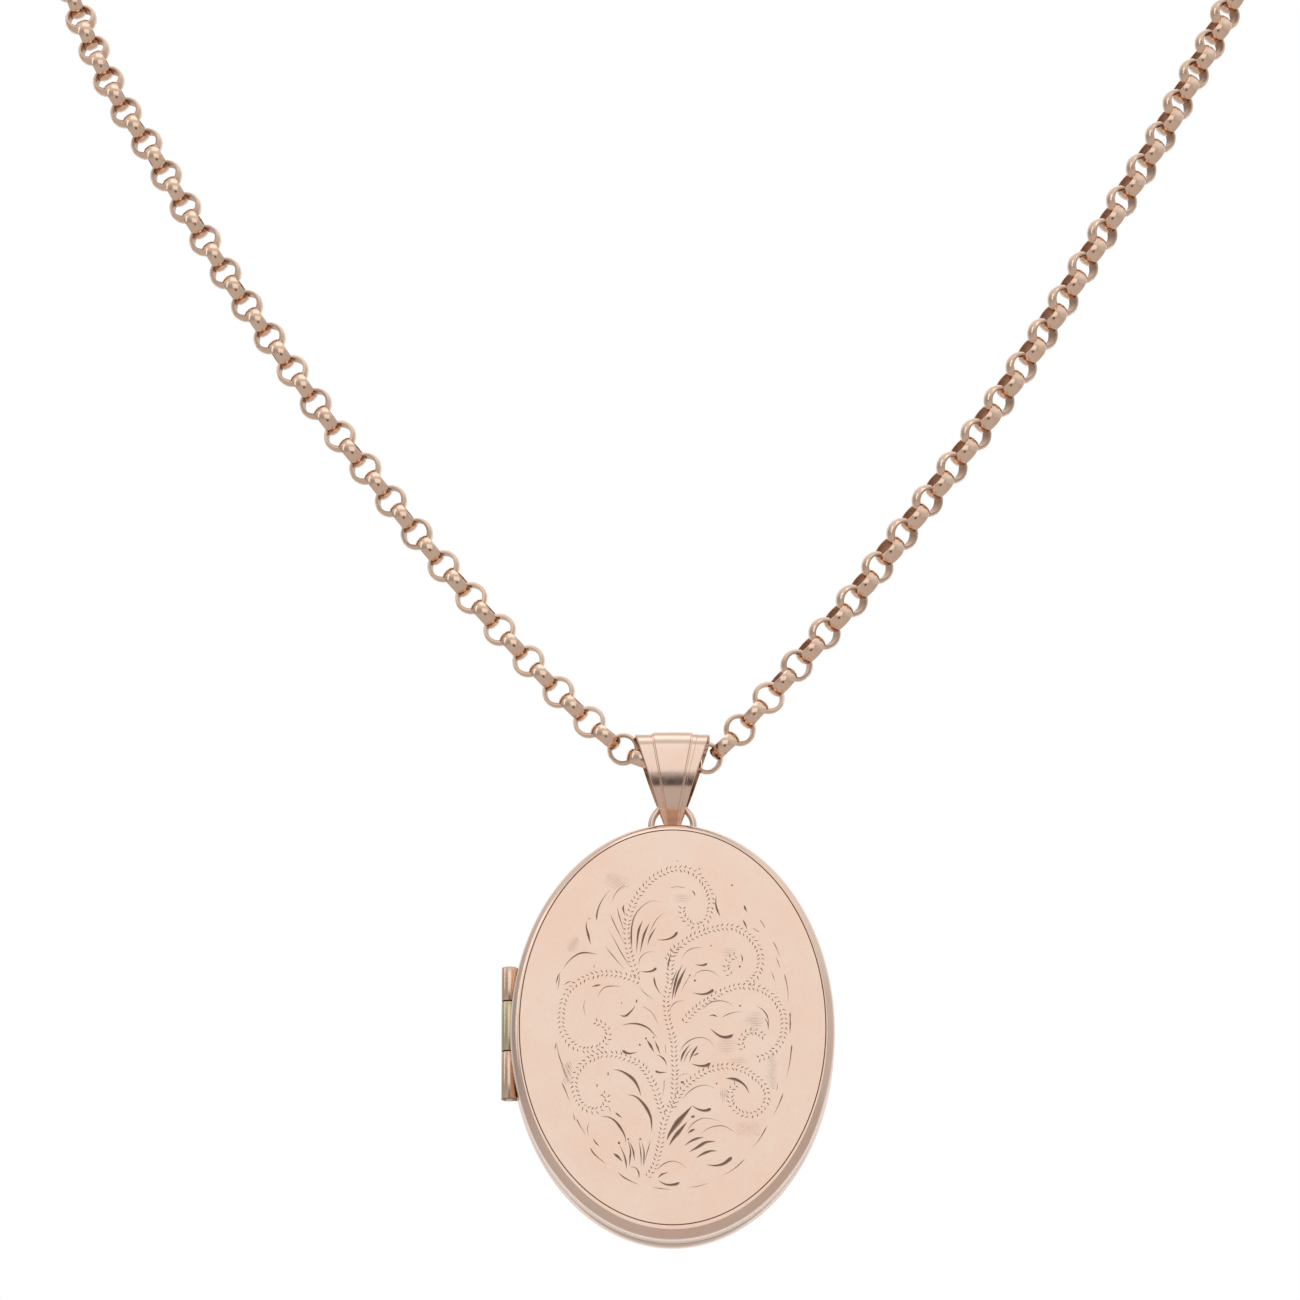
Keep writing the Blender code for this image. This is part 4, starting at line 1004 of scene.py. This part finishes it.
LEAF_FULLNESS = 0.75


def smooth_line(points, steps):
    """A smooth flat line through points, in metres on the face."""
    bent = smooth_route([Vector((x, 0, z)) * MM for x, z in points], steps)
    return [Vector((point.x, point.z)) for point in bent]


def leaf_cut(line, width, thick, stain=1.0):
    """One cut: its line, its half width at each point, thickest part way along, and its stain."""
    total = sum((b - a).length for a, b in zip(line, line[1:]))
    walked, widths = 0.0, []
    for i, point in enumerate(line):
        walked += (point - line[i - 1]).length if i else 0
        share = walked / total
        if thick < 0:
            grow = min(1.0, share / END_SHARE, (1 - share) / END_SHARE)
        elif share < thick:
            grow = share / max(thick, 1e-6)
        else:
            grow = (1 - share) / max(1 - thick, 1e-6)
        widths.append(width / 2 * max(grow, 0.0) ** LEAF_FULLNESS)
    return line, widths, stain


cuts = []
for width, thick, *points in STROKES:
    cuts.append(leaf_cut(smooth_line(points, STROKE_BENDS), width * CUT_GROWN * MM, thick))
graver = random.Random(11)
for points in TICK_ROWS:
    line = smooth_line(points, TICK_ROW_BENDS)
    walked, due = 0.0, TICK_STEP / 2
    for start, end in zip(line, line[1:]):
        span = (end - start).length
        while walked + span > due:
            spot = start.lerp(end, (due - walked) / span)
            along = (end - start).normalized()
            across = Vector((-along.y, along.x))
            for side in (-1, 1):
                lean = math.radians(TICK_LEAN + graver.uniform(-8, 8))
                reach = TICK_LENGTH * graver.uniform(0.8, 1.15)
                heading = across * side * math.sin(lean) + along * math.cos(lean)
                root = spot + across * side * TICK_ROOT + along * graver.uniform(-0.04, 0.04) * MM
                tip = root + heading * reach
                tick = [root, root.lerp(tip, 0.35), root.lerp(tip, 0.7), tip]
                cuts.append(leaf_cut(tick, TICK_WIDTH * graver.uniform(0.8, 1.15), 0.35))
            due += TICK_STEP * graver.uniform(0.93, 1.07)
        walked += span
for low_x, low_z, high_x, high_z, lean, gap, width in HATCH_PATCHES:
    centre = Vector((low_x + high_x, low_z + high_z)) * MM / 2
    half_x, half_z = (high_x - low_x) * MM / 2, (high_z - low_z) * MM / 2
    heading = Vector((math.cos(math.radians(lean)), math.sin(math.radians(lean))))
    across = Vector((-heading.y, heading.x))
    rows_each_way = int(math.hypot(half_x, half_z) / (gap * MM))
    for row in range(-rows_each_way, rows_each_way + 1):
        base = centre + across * row * gap * MM
        inside = []
        for step in range(-HATCH_REACH, HATCH_REACH + 1):
            spot = base + heading * step * HATCH_STEP_MM * MM
            off = spot - centre
            if (off.x / half_x) ** 2 + (off.y / half_z) ** 2 < 1:
                inside.append(spot)
        if len(inside) > HATCH_FEWEST:
            shift = heading * graver.uniform(-0.1, 0.1) * MM
            middle = inside[0].lerp(inside[-1], 0.5)
            scratch_line = [spot + shift for spot in (inside[0], middle, inside[-1])]
            cuts.append(leaf_cut(scratch_line, width * MM, -1, HATCH_STAIN))


def cut_edges(line, widths):
    """The two sides of a cut, from its start to its end, as one closed outline."""
    left, right = [], []
    for i, (point, half) in enumerate(zip(line, widths)):
        before, after = line[max(i - 1, 0)], line[min(i + 1, len(line) - 1)]
        along = (after - before).normalized()
        across = Vector((-along.y, along.x)) * max(half, CUT_LEAST)
        left.append(point + across)
        right.append(point - across)
    return left + right[::-1]


# The flat face, split in triangles along the sides and the middle of every cut. It is worked out
# in millimetres.
SCALE = 1000.0
SAME_PLACE = 1e-5
RIM_SLACK = 1.0003
FACE_CREASE = math.radians(28)
face_middle = Vector((case_centre.x, case_centre.z))
rim_inset = CREASE_INSET + CREASE_HALF
flat_points = [(Vector((p.x, p.z)) - face_middle) * SCALE for p in oval(rim_inset, 0, 1)]
edges = [(i, (i + 1) % OVAL_POINTS) for i in range(OVAL_POINTS)]
for line, widths, stain in cuts:
    start = len(flat_points)
    outline = cut_edges(line, widths)
    flat_points += [point * SCALE for point in outline]
    edges += [(start + i, start + (i + 1) % len(outline)) for i in range(len(outline))]
    start = len(flat_points)
    flat_points += [point * SCALE for point in line[1:-1]]
    edges += [(start + i, start + i + 1) for i in range(len(line) - 3)]
verts, _, faces, *_ = delaunay_2d_cdt(flat_points, edges, [], 0, SAME_PLACE, False)

CELL = 0.5 * MM
cells = {}
segments = []
for line, widths, stain in cuts:
    for a, b, wide_a, wide_b in zip(line, line[1:], widths, widths[1:]):
        segments.append((a, b, wide_a, wide_b, stain))
        grow = max(wide_a, wide_b)
        for column in range(int((min(a.x, b.x) - grow) // CELL), int((max(a.x, b.x) + grow) // CELL) + 1):
            for row in range(int((min(a.y, b.y) - grow) // CELL), int((max(a.y, b.y) + grow) // CELL) + 1):
                cells.setdefault((column, row), []).append(len(segments) - 1)


def cut_depth(spot):
    """How deep the graver went at a place on the face, and how dark the cut has gone."""
    deepest, darkest = 0.0, 0.0
    for number in cells.get((int(spot.x // CELL), int(spot.y // CELL)), ()):
        a, b, wide_a, wide_b, stain = segments[number]
        span = b - a
        share = min(max((spot - a).dot(span) / max(span.length_squared, 1e-18), 0), 1)
        wide = wide_a + (wide_b - wide_a) * share
        depth = (wide - (spot - a.lerp(b, share)).length) * CUT_SLOPE
        if depth > deepest:
            deepest, darkest = depth, stain
    return (deepest, darkest) if deepest > CUT_SHALLOWEST else (0.0, 0.0)


shape = bmesh.new()
rim_rows = [[shape.verts.new(point) for point in oval(inset, depth, -1)] for inset, depth in half_lines()]
for row, after in zip(rim_rows, rim_rows[1:]):
    for i in range(OVAL_POINTS):
        shape.faces.new((row[i], row[i - 1], after[i - 1], after[i])).smooth = True
shape.faces.new(rim_rows[0])
rim_reach = (CASE_WIDTH / 2 - rim_inset, CASE_HEIGHT / 2 - rim_inset - FACE_SHORTER)
plate_faces = []
depths = [cut_depth(spot / SCALE)[0] for spot in verts]
depths[:OVAL_POINTS] = [0.0] * OVAL_POINTS
for corners in faces:
    middle = sum((verts[i] for i in corners), Vector((0, 0))) / len(corners) / SCALE
    if math.hypot(middle.x / rim_reach[0], (middle.y - FACE_LIFT) / rim_reach[1]) > RIM_SLACK:
        continue
    stain = cut_depth(middle)[1]
    plate_faces.append((corners, stain))
    if stain == 0:
        for number in corners:
            depths[number] = 0.0
plate = list(rim_rows[-1])
for spot, depth in zip(verts[OVAL_POINTS:], depths[OVAL_POINTS:]):
    place = Vector((spot.x, 0, spot.y)) / SCALE
    sunk = Vector((face_middle.x, case_centre.y - HALF_DEPTH + depth, face_middle.y))
    plate.append(shape.verts.new(place + sunk))
dark = shape.loops.layers.float.new("tarnish_and_shade")
for corners, stain in plate_faces:
    face = shape.faces.new([plate[i] for i in corners])
    for loop, number in zip(face.loops, corners):
        deep_share = min(1.0, depths[number] / DARK_DEPTH)
        loop[dark] = CUT_DARK * stain * (CUT_PALEST + (1 - CUT_PALEST) * deep_share)
bmesh.ops.recalc_face_normals(shape, faces=shape.faces)
# The rim of the front half takes the same tarnishing in its struck line and painted shade along its seam.
for face in shape.faces:
    if face.smooth:
        for loop in face.loops:
            loop[dark] = case_tarnish_and_shade(loop.vert.co)
front_mesh = bpy.data.meshes.new("engraved_case")
shape.to_mesh(front_mesh)
shape.free()
front_mesh.set_sharp_from_angle(angle=FACE_CREASE)
front_mesh = grooved(front_mesh, hinge_groove())
for face in front_mesh.polygons:
    off = face.center - case_centre
    on_plate = math.hypot(off.x / rim_reach[0], (off.z - FACE_LIFT) / rim_reach[1]) < 1
    if off.y < -HALF_DEPTH + 0.2 * MM and on_plate:
        face.use_smooth = False
front_mesh.materials.append(case_gold)
adopt("engraved_case", front_mesh, "locket_cover", "case_gold", "front_shell")

# The closing band: a thin oval wall soldered inside the back half. It stands out of it, and the
# front half snaps over it. Its lip is rounded and it is slotted where the hinge passes.
RIM_SEAT = SHELL_WALL + FIT_GAP
BAND_WALL = 0.35 * MM
BAND_PROUD = 0.8 * MM
BAND_SHADE = 0.8
FRAME_NEAR = 1.22 * MM


def oval_ring(name, corners, side):
    """An oval ring whose section has these corners, as how far in and how deep."""
    return skin(name, [oval(inset, depth, side) for inset, depth in corners], True, 40)


band_corners = (
    (RIM_SEAT, -BAND_PROUD + 0.1 * MM),
    (RIM_SEAT + 0.05 * MM, -BAND_PROUD),
    (RIM_SEAT + BAND_WALL - 0.05 * MM, -BAND_PROUD),
    (RIM_SEAT + BAND_WALL, -BAND_PROUD + 0.06 * MM),
    (RIM_SEAT + BAND_WALL, FRAME_NEAR - FIT_GAP),
    (RIM_SEAT, FRAME_NEAR - FIT_GAP),
)
inner_gold = gold("inner_yellow_gold", (0.86, 0.72, 0.52), 0.2, 500, 0.3, (0.3, 0.2, 0.1))
band_mesh = grooved(oval_ring("closing_band", band_corners, 1), hinge_groove())
# Painted shade: the band is darkened wherever it lies inside either half, more than 0.3 mm from the seam.
darken(band_mesh, lambda spot: BAND_SHADE if abs(spot.y - case_centre.y) > 0.3 * MM else 0.0)
band_mesh.materials.append(inner_gold)
adopt("closing_band", band_mesh, "locket_back", "inner_gold", "closing_flange")

# The two picture frames: flat oval rings of gilt sheet with a turned edge, pressed into each half
# over the window. A small thumb notch at the foot lets a nail lift each one out.
FRAME_WIDE = 1.7 * MM
FRAME_DEEP = 0.7 * MM
NOTCH_HALF_WIDTH = 1.3 * MM
NOTCH_DEPTH = 0.16 * MM
NOTCH_FOOT = CASE_HEIGHT / 2 - RIM_SEAT - FRAME_WIDE + 0.7 * MM
HALVES = (("front", -1, "locket_cover"), ("back", 1, "locket_back"))
frame_corners = (
    (RIM_SEAT, FRAME_NEAR + 0.2 * MM),
    (RIM_SEAT + 0.06 * MM, FRAME_NEAR + 0.06 * MM),
    (RIM_SEAT + 0.2 * MM, FRAME_NEAR),
    (RIM_SEAT + FRAME_WIDE - 0.5 * MM, FRAME_NEAR),
    (RIM_SEAT + FRAME_WIDE - 0.44 * MM, FRAME_NEAR + 0.07 * MM),
    (RIM_SEAT + FRAME_WIDE - 0.3 * MM, FRAME_NEAR + 0.07 * MM),
    (RIM_SEAT + FRAME_WIDE - 0.1 * MM, FRAME_NEAR + 0.02 * MM),
    (RIM_SEAT + FRAME_WIDE, FRAME_NEAR + 0.14 * MM),
    (RIM_SEAT + FRAME_WIDE, FRAME_NEAR + FRAME_DEEP),
    (RIM_SEAT, FRAME_NEAR + FRAME_DEEP),
)
for half, side, body in HALVES:
    frame_mesh = oval_ring(f"{half}_gilt_frame", frame_corners, side)
    for vertex in frame_mesh.vertices:
        off = vertex.co - case_centre
        near_foot = off.z < 0 and abs(off.x) < NOTCH_HALF_WIDTH
        if near_foot and abs(off.y) < FRAME_NEAR + 0.08 * MM and -off.z < NOTCH_FOOT:
            vertex.co.y += side * NOTCH_DEPTH * math.cos(off.x / NOTCH_HALF_WIDTH * math.pi / 2)
    frame_mesh.materials.append(inner_gold)
    adopt(f"{half}_gilt_frame", frame_mesh, body, "inner_gold", f"{half}_photo_frame")

# The windows: thin clear acetate sheets, cut oval, with a softened edge. Each lies under its frame
# and keeps the card behind it flat. A little hazy with age.
WINDOW_DEPTH = 1.98 * MM
WINDOW_THICK = 0.4 * MM
WINDOW_SOFT = 0.04 * MM
PLATE_INSET = half_lines()[0][0] + FIT_GAP
CLEAR = (0.97, 0.985, 0.98, 1)
HAZE_SCALE = 300
HAZE_LEAST = 0.03
HAZE_MOST = 0.12
acetate = finish("clear_acetate", Base_Color=CLEAR, Metallic=0.0, Transmission_Weight=1.0, IOR=1.47)
sheet = acetate.node_tree
place = node(sheet, "ShaderNodeTexCoord").outputs["Object"]
hazy = node(sheet, "ShaderNodeTexNoise", Vector=place, Scale=HAZE_SCALE)
haze = node(sheet, "ShaderNodeMapRange", Value=hazy.outputs["Fac"], To_Min=HAZE_LEAST, To_Max=HAZE_MOST)
feed(sheet, sheet.nodes["Principled BSDF"], Roughness=haze.outputs["Result"])


def oval_plate(name, depth, thick, side, soften):
    """A flat oval sheet with softened edges."""
    lines = ((PLATE_INSET + soften, depth), (PLATE_INSET, depth + soften))
    lines += ((PLATE_INSET, depth + thick - soften), (PLATE_INSET + soften, depth + thick))
    return skin(name, [oval(inset, at, side) for inset, at in lines])


for half, side, body in HALVES:
    window_mesh = oval_plate(f"{half}_acetate", WINDOW_DEPTH, WINDOW_THICK, side, WINDOW_SOFT)
    window_mesh.materials.append(acetate)
    adopt(f"{half}_acetate", window_mesh, body, "window", f"{half}_window")

# The picture cards: blank ovals of cream card that lie behind the windows. The card is fibrous,
# with paler and darker patches.
CARD_DEPTH = 2.44 * MM
CARD_THICK = 0.3 * MM
CARD_SOFT = 0.03 * MM
FIBRE_SCALE = 1500
FIBRE_HEIGHT = 0.02 * MM
CREAM = ((0.25, (0.66, 0.60, 0.48, 1)), (0.6, (0.80, 0.75, 0.64, 1)))
card_paper = finish("cream_card", Roughness=0.85)
paper = card_paper.node_tree
place = node(paper, "ShaderNodeTexCoord").outputs["Object"]
fibres = node(paper, "ShaderNodeTexNoise", Vector=place, Scale=FIBRE_SCALE, Detail=4).outputs["Fac"]
cream = node(paper, "ShaderNodeValToRGB", Fac=fibres)
for stop, (at, colour) in zip(cream.color_ramp.elements, CREAM):
    stop.color = colour
    stop.position = at
raised = node(paper, "ShaderNodeBump", Distance=FIBRE_HEIGHT, Strength=0.4, Height=fibres)
pulp = paper.nodes["Principled BSDF"]
feed(paper, pulp, Base_Color=cream.outputs["Color"], Normal=raised.outputs["Normal"])
for half, side, body in HALVES:
    card_mesh = oval_plate(f"{half}_card", CARD_DEPTH, CARD_THICK, side, CARD_SOFT)
    card_mesh.materials.append(card_paper)
    adopt(f"{half}_card", card_mesh, body, "photo_card", f"{half}_photo_card")

# The hinge: three knuckles of thick tube on a riveted pin, the outer two soldered to the back
# half on short wedges and the middle one, of yellower gold, to the front half.
PIN_RADIUS = 0.4 * MM
PIN_ROUND = 0.12 * MM
PIN_LOW = -6.32 * MM
PIN_HIGH = 6.34 * MM
KNUCKLE_BORE = 0.45 * MM
KNUCKLE_ROUND = 0.07 * MM
KNUCKLE_STEPS = 40
KNUCKLE_SHADE = 0.8
WEDGE_THICK = 0.6 * MM
WEDGE_STEPS = 8
WEDGE_NEAR = HINGE_AXIS.x + KNUCKLE_BORE * 1.15
hinge_pink = gold("hinge_rose_gold", (0.90, 0.68, 0.53), 0.16, 600, 0.25, (0.3, 0.15, 0.08))
hinge_yellow = gold("hinge_yellow_gold", (0.76, 0.68, 0.46), 0.2, 600, 0.3, (0.3, 0.2, 0.1))


def rounded(low, high, radius, edge):
    """The side of a round bar between two heights, with both its ends rounded over."""
    part = edge * ROUND_PART
    lines = [(low, radius - edge), (low + part, radius - part), (low + edge, radius)]
    return lines + [(high - edge, radius), (high - part, radius - part), (high, radius - edge)]


def knuckle(name, low, high):
    """A tube between two heights on the hinge, with rounded ends and a bore."""
    lines = rounded(low, high, KNUCKLE_RADIUS, KNUCKLE_ROUND)
    lines = [(low, KNUCKLE_BORE), *lines, (high, KNUCKLE_BORE)]
    rows = []
    for step in range(KNUCKLE_STEPS):
        turn = math.tau * step / KNUCKLE_STEPS
        rows.append([HINGE_AXIS + Vector((r * math.cos(turn), r * math.sin(turn), z)) for z, r in lines])
    return skin(name, rows, True, 40)


def wedge(name, low, high):
    """The soldered wedge between a knuckle and the back half's curved rim."""
    rows = []
    for step in range(WEDGE_STEPS + 1):
        z = low + (high - low) * step / WEDGE_STEPS
        up = (z + HINGE_RISE) / (CASE_HEIGHT / 2)
        rim = -CASE_WIDTH / 2 * math.sqrt(1 - up * up) - FIT_GAP
        corners = [(WEDGE_NEAR, SEAM_HALF_GAP), (rim, SEAM_HALF_GAP)]
        corners += [(rim, WEDGE_THICK), (WEDGE_NEAR, WEDGE_THICK)]
        rows.append([Vector((x, case_centre.y + y, HINGE_AXIS.z + z)) for x, y in corners])
    return skin(name, rows)


def joined(first, second):
    """Two closed shapes in one mesh."""
    shape = bmesh.new()
    shape.from_mesh(first)
    shape.from_mesh(second)
    shape.to_mesh(first)
    shape.free()
    return first


def knuckle_painted_shade(spot):
    """Painted shade in the narrow gaps where one knuckle turns against the next."""
    worn = min(abs(spot.z - HINGE_AXIS.z - end) for end in ends) < 0.05 * MM
    return KNUCKLE_SHADE if worn else 0.0


KNUCKLES = (
    ("lower_knuckle", -6.28, -1.78, "hinge_knuckle_lower", "locket_back", True),
    ("middle_knuckle", -1.70, 3.00, "hinge_knuckle_middle", "locket_cover", False),
    ("upper_knuckle", 3.08, 6.30, "hinge_knuckle_upper", "locket_back", True),
)
for name, low, high, cad_node, body, soldered in KNUCKLES:
    ends = (low * MM, high * MM)
    mesh = knuckle(name, *ends)
    if soldered:
        mesh = joined(mesh, wedge(name + "_wedge", *ends))
    # Painted shade darkens the ends of each knuckle, at the gaps between them.
    darken(mesh, knuckle_painted_shade)
    mesh.materials.append(hinge_pink if soldered else hinge_yellow)
    adopt(name, mesh, body, "hinge_gold" if soldered else "hinge_yellow_gold", cad_node)
pin_mesh = upright_rod("hinge_rivet_pin", rounded(PIN_LOW, PIN_HIGH, PIN_RADIUS, PIN_ROUND))
pin_mesh.materials.append(hinge_yellow)
adopt("hinge_rivet_pin", pin_mesh, "locket_back", "hinge_yellow_gold", "hinge_pin")

# The bolt ring: a hollow ring of tube with a gap for the chain, slotted on its outside for the
# thumb piece of the bolt that slides in it, with a fine steel coil behind the bolt.
RING_RADIUS = 2.3 * MM
TUBE_RADIUS = 0.75 * MM
TUBE_BORE = 0.5 * MM
TUBE_SIDES = 24
TUBE_STEPS = 96
TUBE_ROUND = 1.5
TUBE_END = TUBE_RADIUS - 0.06 * MM
MOUTH = 35
SLOT_START, SLOT_END = 67, 143
SLOT_STEPS = 20
SLOT_HALF = 0.27 * MM
SLOT_REACH = RING_RADIUS + 1.3 * MM
BOLT_RADIUS = 0.42 * MM
BOLT_TIP = BOLT_RADIUS * 0.7
BOLT_SIDES = 20
BOLT_STEPS = 48
BOLT_TURNS = (-40, -38.5, 108.5, 110)
THUMB_MM = ((70.8, 1.05), (71.6, 1.22), (73, 1.29), (75, 1.30), (77, 1.29), (78.4, 1.22), (79.2, 1.05))
THUMB_HALF = 0.18 * MM
THUMB_ROUND = 0.06 * MM
THUMB_FLAT = 0.65
COIL_LOOPS = 12
COIL_LOOP_STEPS = 18
COIL_RADIUS = 0.3 * MM
COIL_WIRE = 0.06 * MM
COIL_FROM, COIL_ALONG = 112, 123
clasp_gold = gold("clasp_rose_gold", (0.88, 0.68, 0.54), 0.15, 800, 0.25, (0.3, 0.15, 0.08))


def on_clasp(degrees, radius, aside=0.0):
    """A point on the clasp, which stands in the XZ plane round the origin."""
    turn = math.radians(degrees)
    return Vector((radius * math.cos(turn), aside, radius * math.sin(turn)))


def clasp_tube(start, end, steps, radius, sides):
    """Round sections along the clasp's circle."""
    turns = [math.tau * side / sides for side in range(sides)]
    rows = []
    for step in range(steps + 1):
        degrees = start + (end - start) * step / steps
        row = [(RING_RADIUS + radius * math.cos(turn), radius * math.sin(turn)) for turn in turns]
        rows.append([on_clasp(degrees, out, aside) for out, aside in row])
    return rows


def clasp_end(degrees, radius, sides):
    """One smaller section, which rounds off an end."""
    return clasp_tube(degrees, degrees, 1, radius, sides)[:1]


outer_rows = clasp_tube(MOUTH + TUBE_ROUND, 360 - MOUTH - TUBE_ROUND, TUBE_STEPS, TUBE_RADIUS, TUBE_SIDES)
outer_rows = clasp_end(MOUTH, TUBE_END, TUBE_SIDES) + outer_rows
outer_rows += clasp_end(360 - MOUTH, TUBE_END, TUBE_SIDES)
inner_rows = clasp_tube(MOUTH, 360 - MOUTH, TUBE_STEPS + 2, TUBE_BORE, TUBE_SIDES)
tube_rows = []
for side in range(TUBE_SIDES):
    tube_rows.append([row[side] for row in outer_rows] + [row[side] for row in reversed(inner_rows)])
slot_rows = []
for step in range(SLOT_STEPS + 1):
    degrees = SLOT_START + (SLOT_END - SLOT_START) * step / SLOT_STEPS
    corners = ((RING_RADIUS, -1), (SLOT_REACH, -1), (SLOT_REACH, 1), (RING_RADIUS, 1))
    slot_rows.append([on_clasp(degrees, radius, aside * SLOT_HALF) for radius, aside in corners])
ring_mesh = grooved(skin("bolt_ring_tube", tube_rows, True, 40), skin("slot", slot_rows))
ring_mesh.materials.append(clasp_gold)
bolt_ring_tube = adopt("bolt_ring_tube", ring_mesh, "chain", "clasp_gold", "clasp_body")

tip, tip_full, heel_full, heel = BOLT_TURNS
bolt_rows = clasp_end(tip, BOLT_TIP, BOLT_SIDES)
bolt_rows += clasp_tube(tip_full, heel_full, BOLT_STEPS, BOLT_RADIUS, BOLT_SIDES)
bolt_rows += clasp_end(heel, BOLT_TIP, BOLT_SIDES)
thumb_rows = []
for degrees, high in THUMB_MM:
    top = RING_RADIUS + high * MM
    low_half = [(RING_RADIUS, -1), (top - THUMB_ROUND, -1), (top, -THUMB_FLAT)]
    corners = low_half + [(radius, -aside) for radius, aside in reversed(low_half)]
    thumb_rows.append([on_clasp(degrees, radius, aside * THUMB_HALF) for radius, aside in corners])
bolt_mesh = joined(skin("sliding_bolt", bolt_rows), skin("thumb", thumb_rows))
bolt_mesh.materials.append(clasp_gold)
sliding_bolt = adopt("sliding_bolt", bolt_mesh, "clasp_bolt", "clasp_gold", "clasp_bolt")

steel = gold("spring_steel", (0.60, 0.60, 0.61), 0.25, 900, 0.2, (0.2, 0.2, 0.2))
coil = []
for step in range(COIL_LOOPS * COIL_LOOP_STEPS + 1):
    share = step / (COIL_LOOPS * COIL_LOOP_STEPS)
    turn = math.tau * COIL_LOOPS * share
    out = RING_RADIUS + COIL_RADIUS * math.cos(turn)
    coil.append(on_clasp(COIL_FROM + COIL_ALONG * share, out, COIL_RADIUS * math.sin(turn)))
coil_mesh = skin("bolt_coil", wire_rows(coil, [COIL_WIRE] * len(coil), 8))
coil_mesh.materials.append(steel)
bolt_coil = adopt("bolt_coil", coil_mesh, "chain", "spring_steel", "clasp_spring")

# The three rings of round wire that join the clasp to the chain: the loop soldered to the bolt
# ring, the jump ring between it and the first link, and the ring the bolt catches.
JOINING_RINGS = (
    ("clasp_loop", -4.21, 0.8, 0.3, False, "clasp_end_loop"),
    ("jump_ring", -5.58, 1.3, 0.35, True, "chain_jump_ring"),
    ("catching_ring", 2.95, 1.5, 0.35, True, "catch_ring"),
)
RING_STEPS = 56
RING_SIDES = 16
for name, middle, radius, wire, level, cad_node in JOINING_RINGS:
    centre = Vector((middle * MM, 0, 0))
    circle = []
    for step in range(RING_STEPS):
        turn = math.tau * step / RING_STEPS
        across, up = radius * MM * math.cos(turn), radius * MM * math.sin(turn)
        circle.append(centre + (Vector((across, up, 0)) if level else Vector((across, 0, up))))
    rows = []
    for point in circle:
        out = (point - centre).normalized()
        third = Vector((0, 0, 1)) if level else Vector((0, 1, 0))
        turns = [math.tau * side / RING_SIDES for side in range(RING_SIDES)]
        rows.append([point + (out * math.cos(turn) + third * math.sin(turn)) * wire * MM for turn in turns])
    ring_data = skin(name, rows, True)
    ring_data.materials.append(chain_gold if level else clasp_gold)
    adopt(name, ring_data, "chain", "chain_gold" if level else "clasp_gold", cad_node)

low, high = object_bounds()
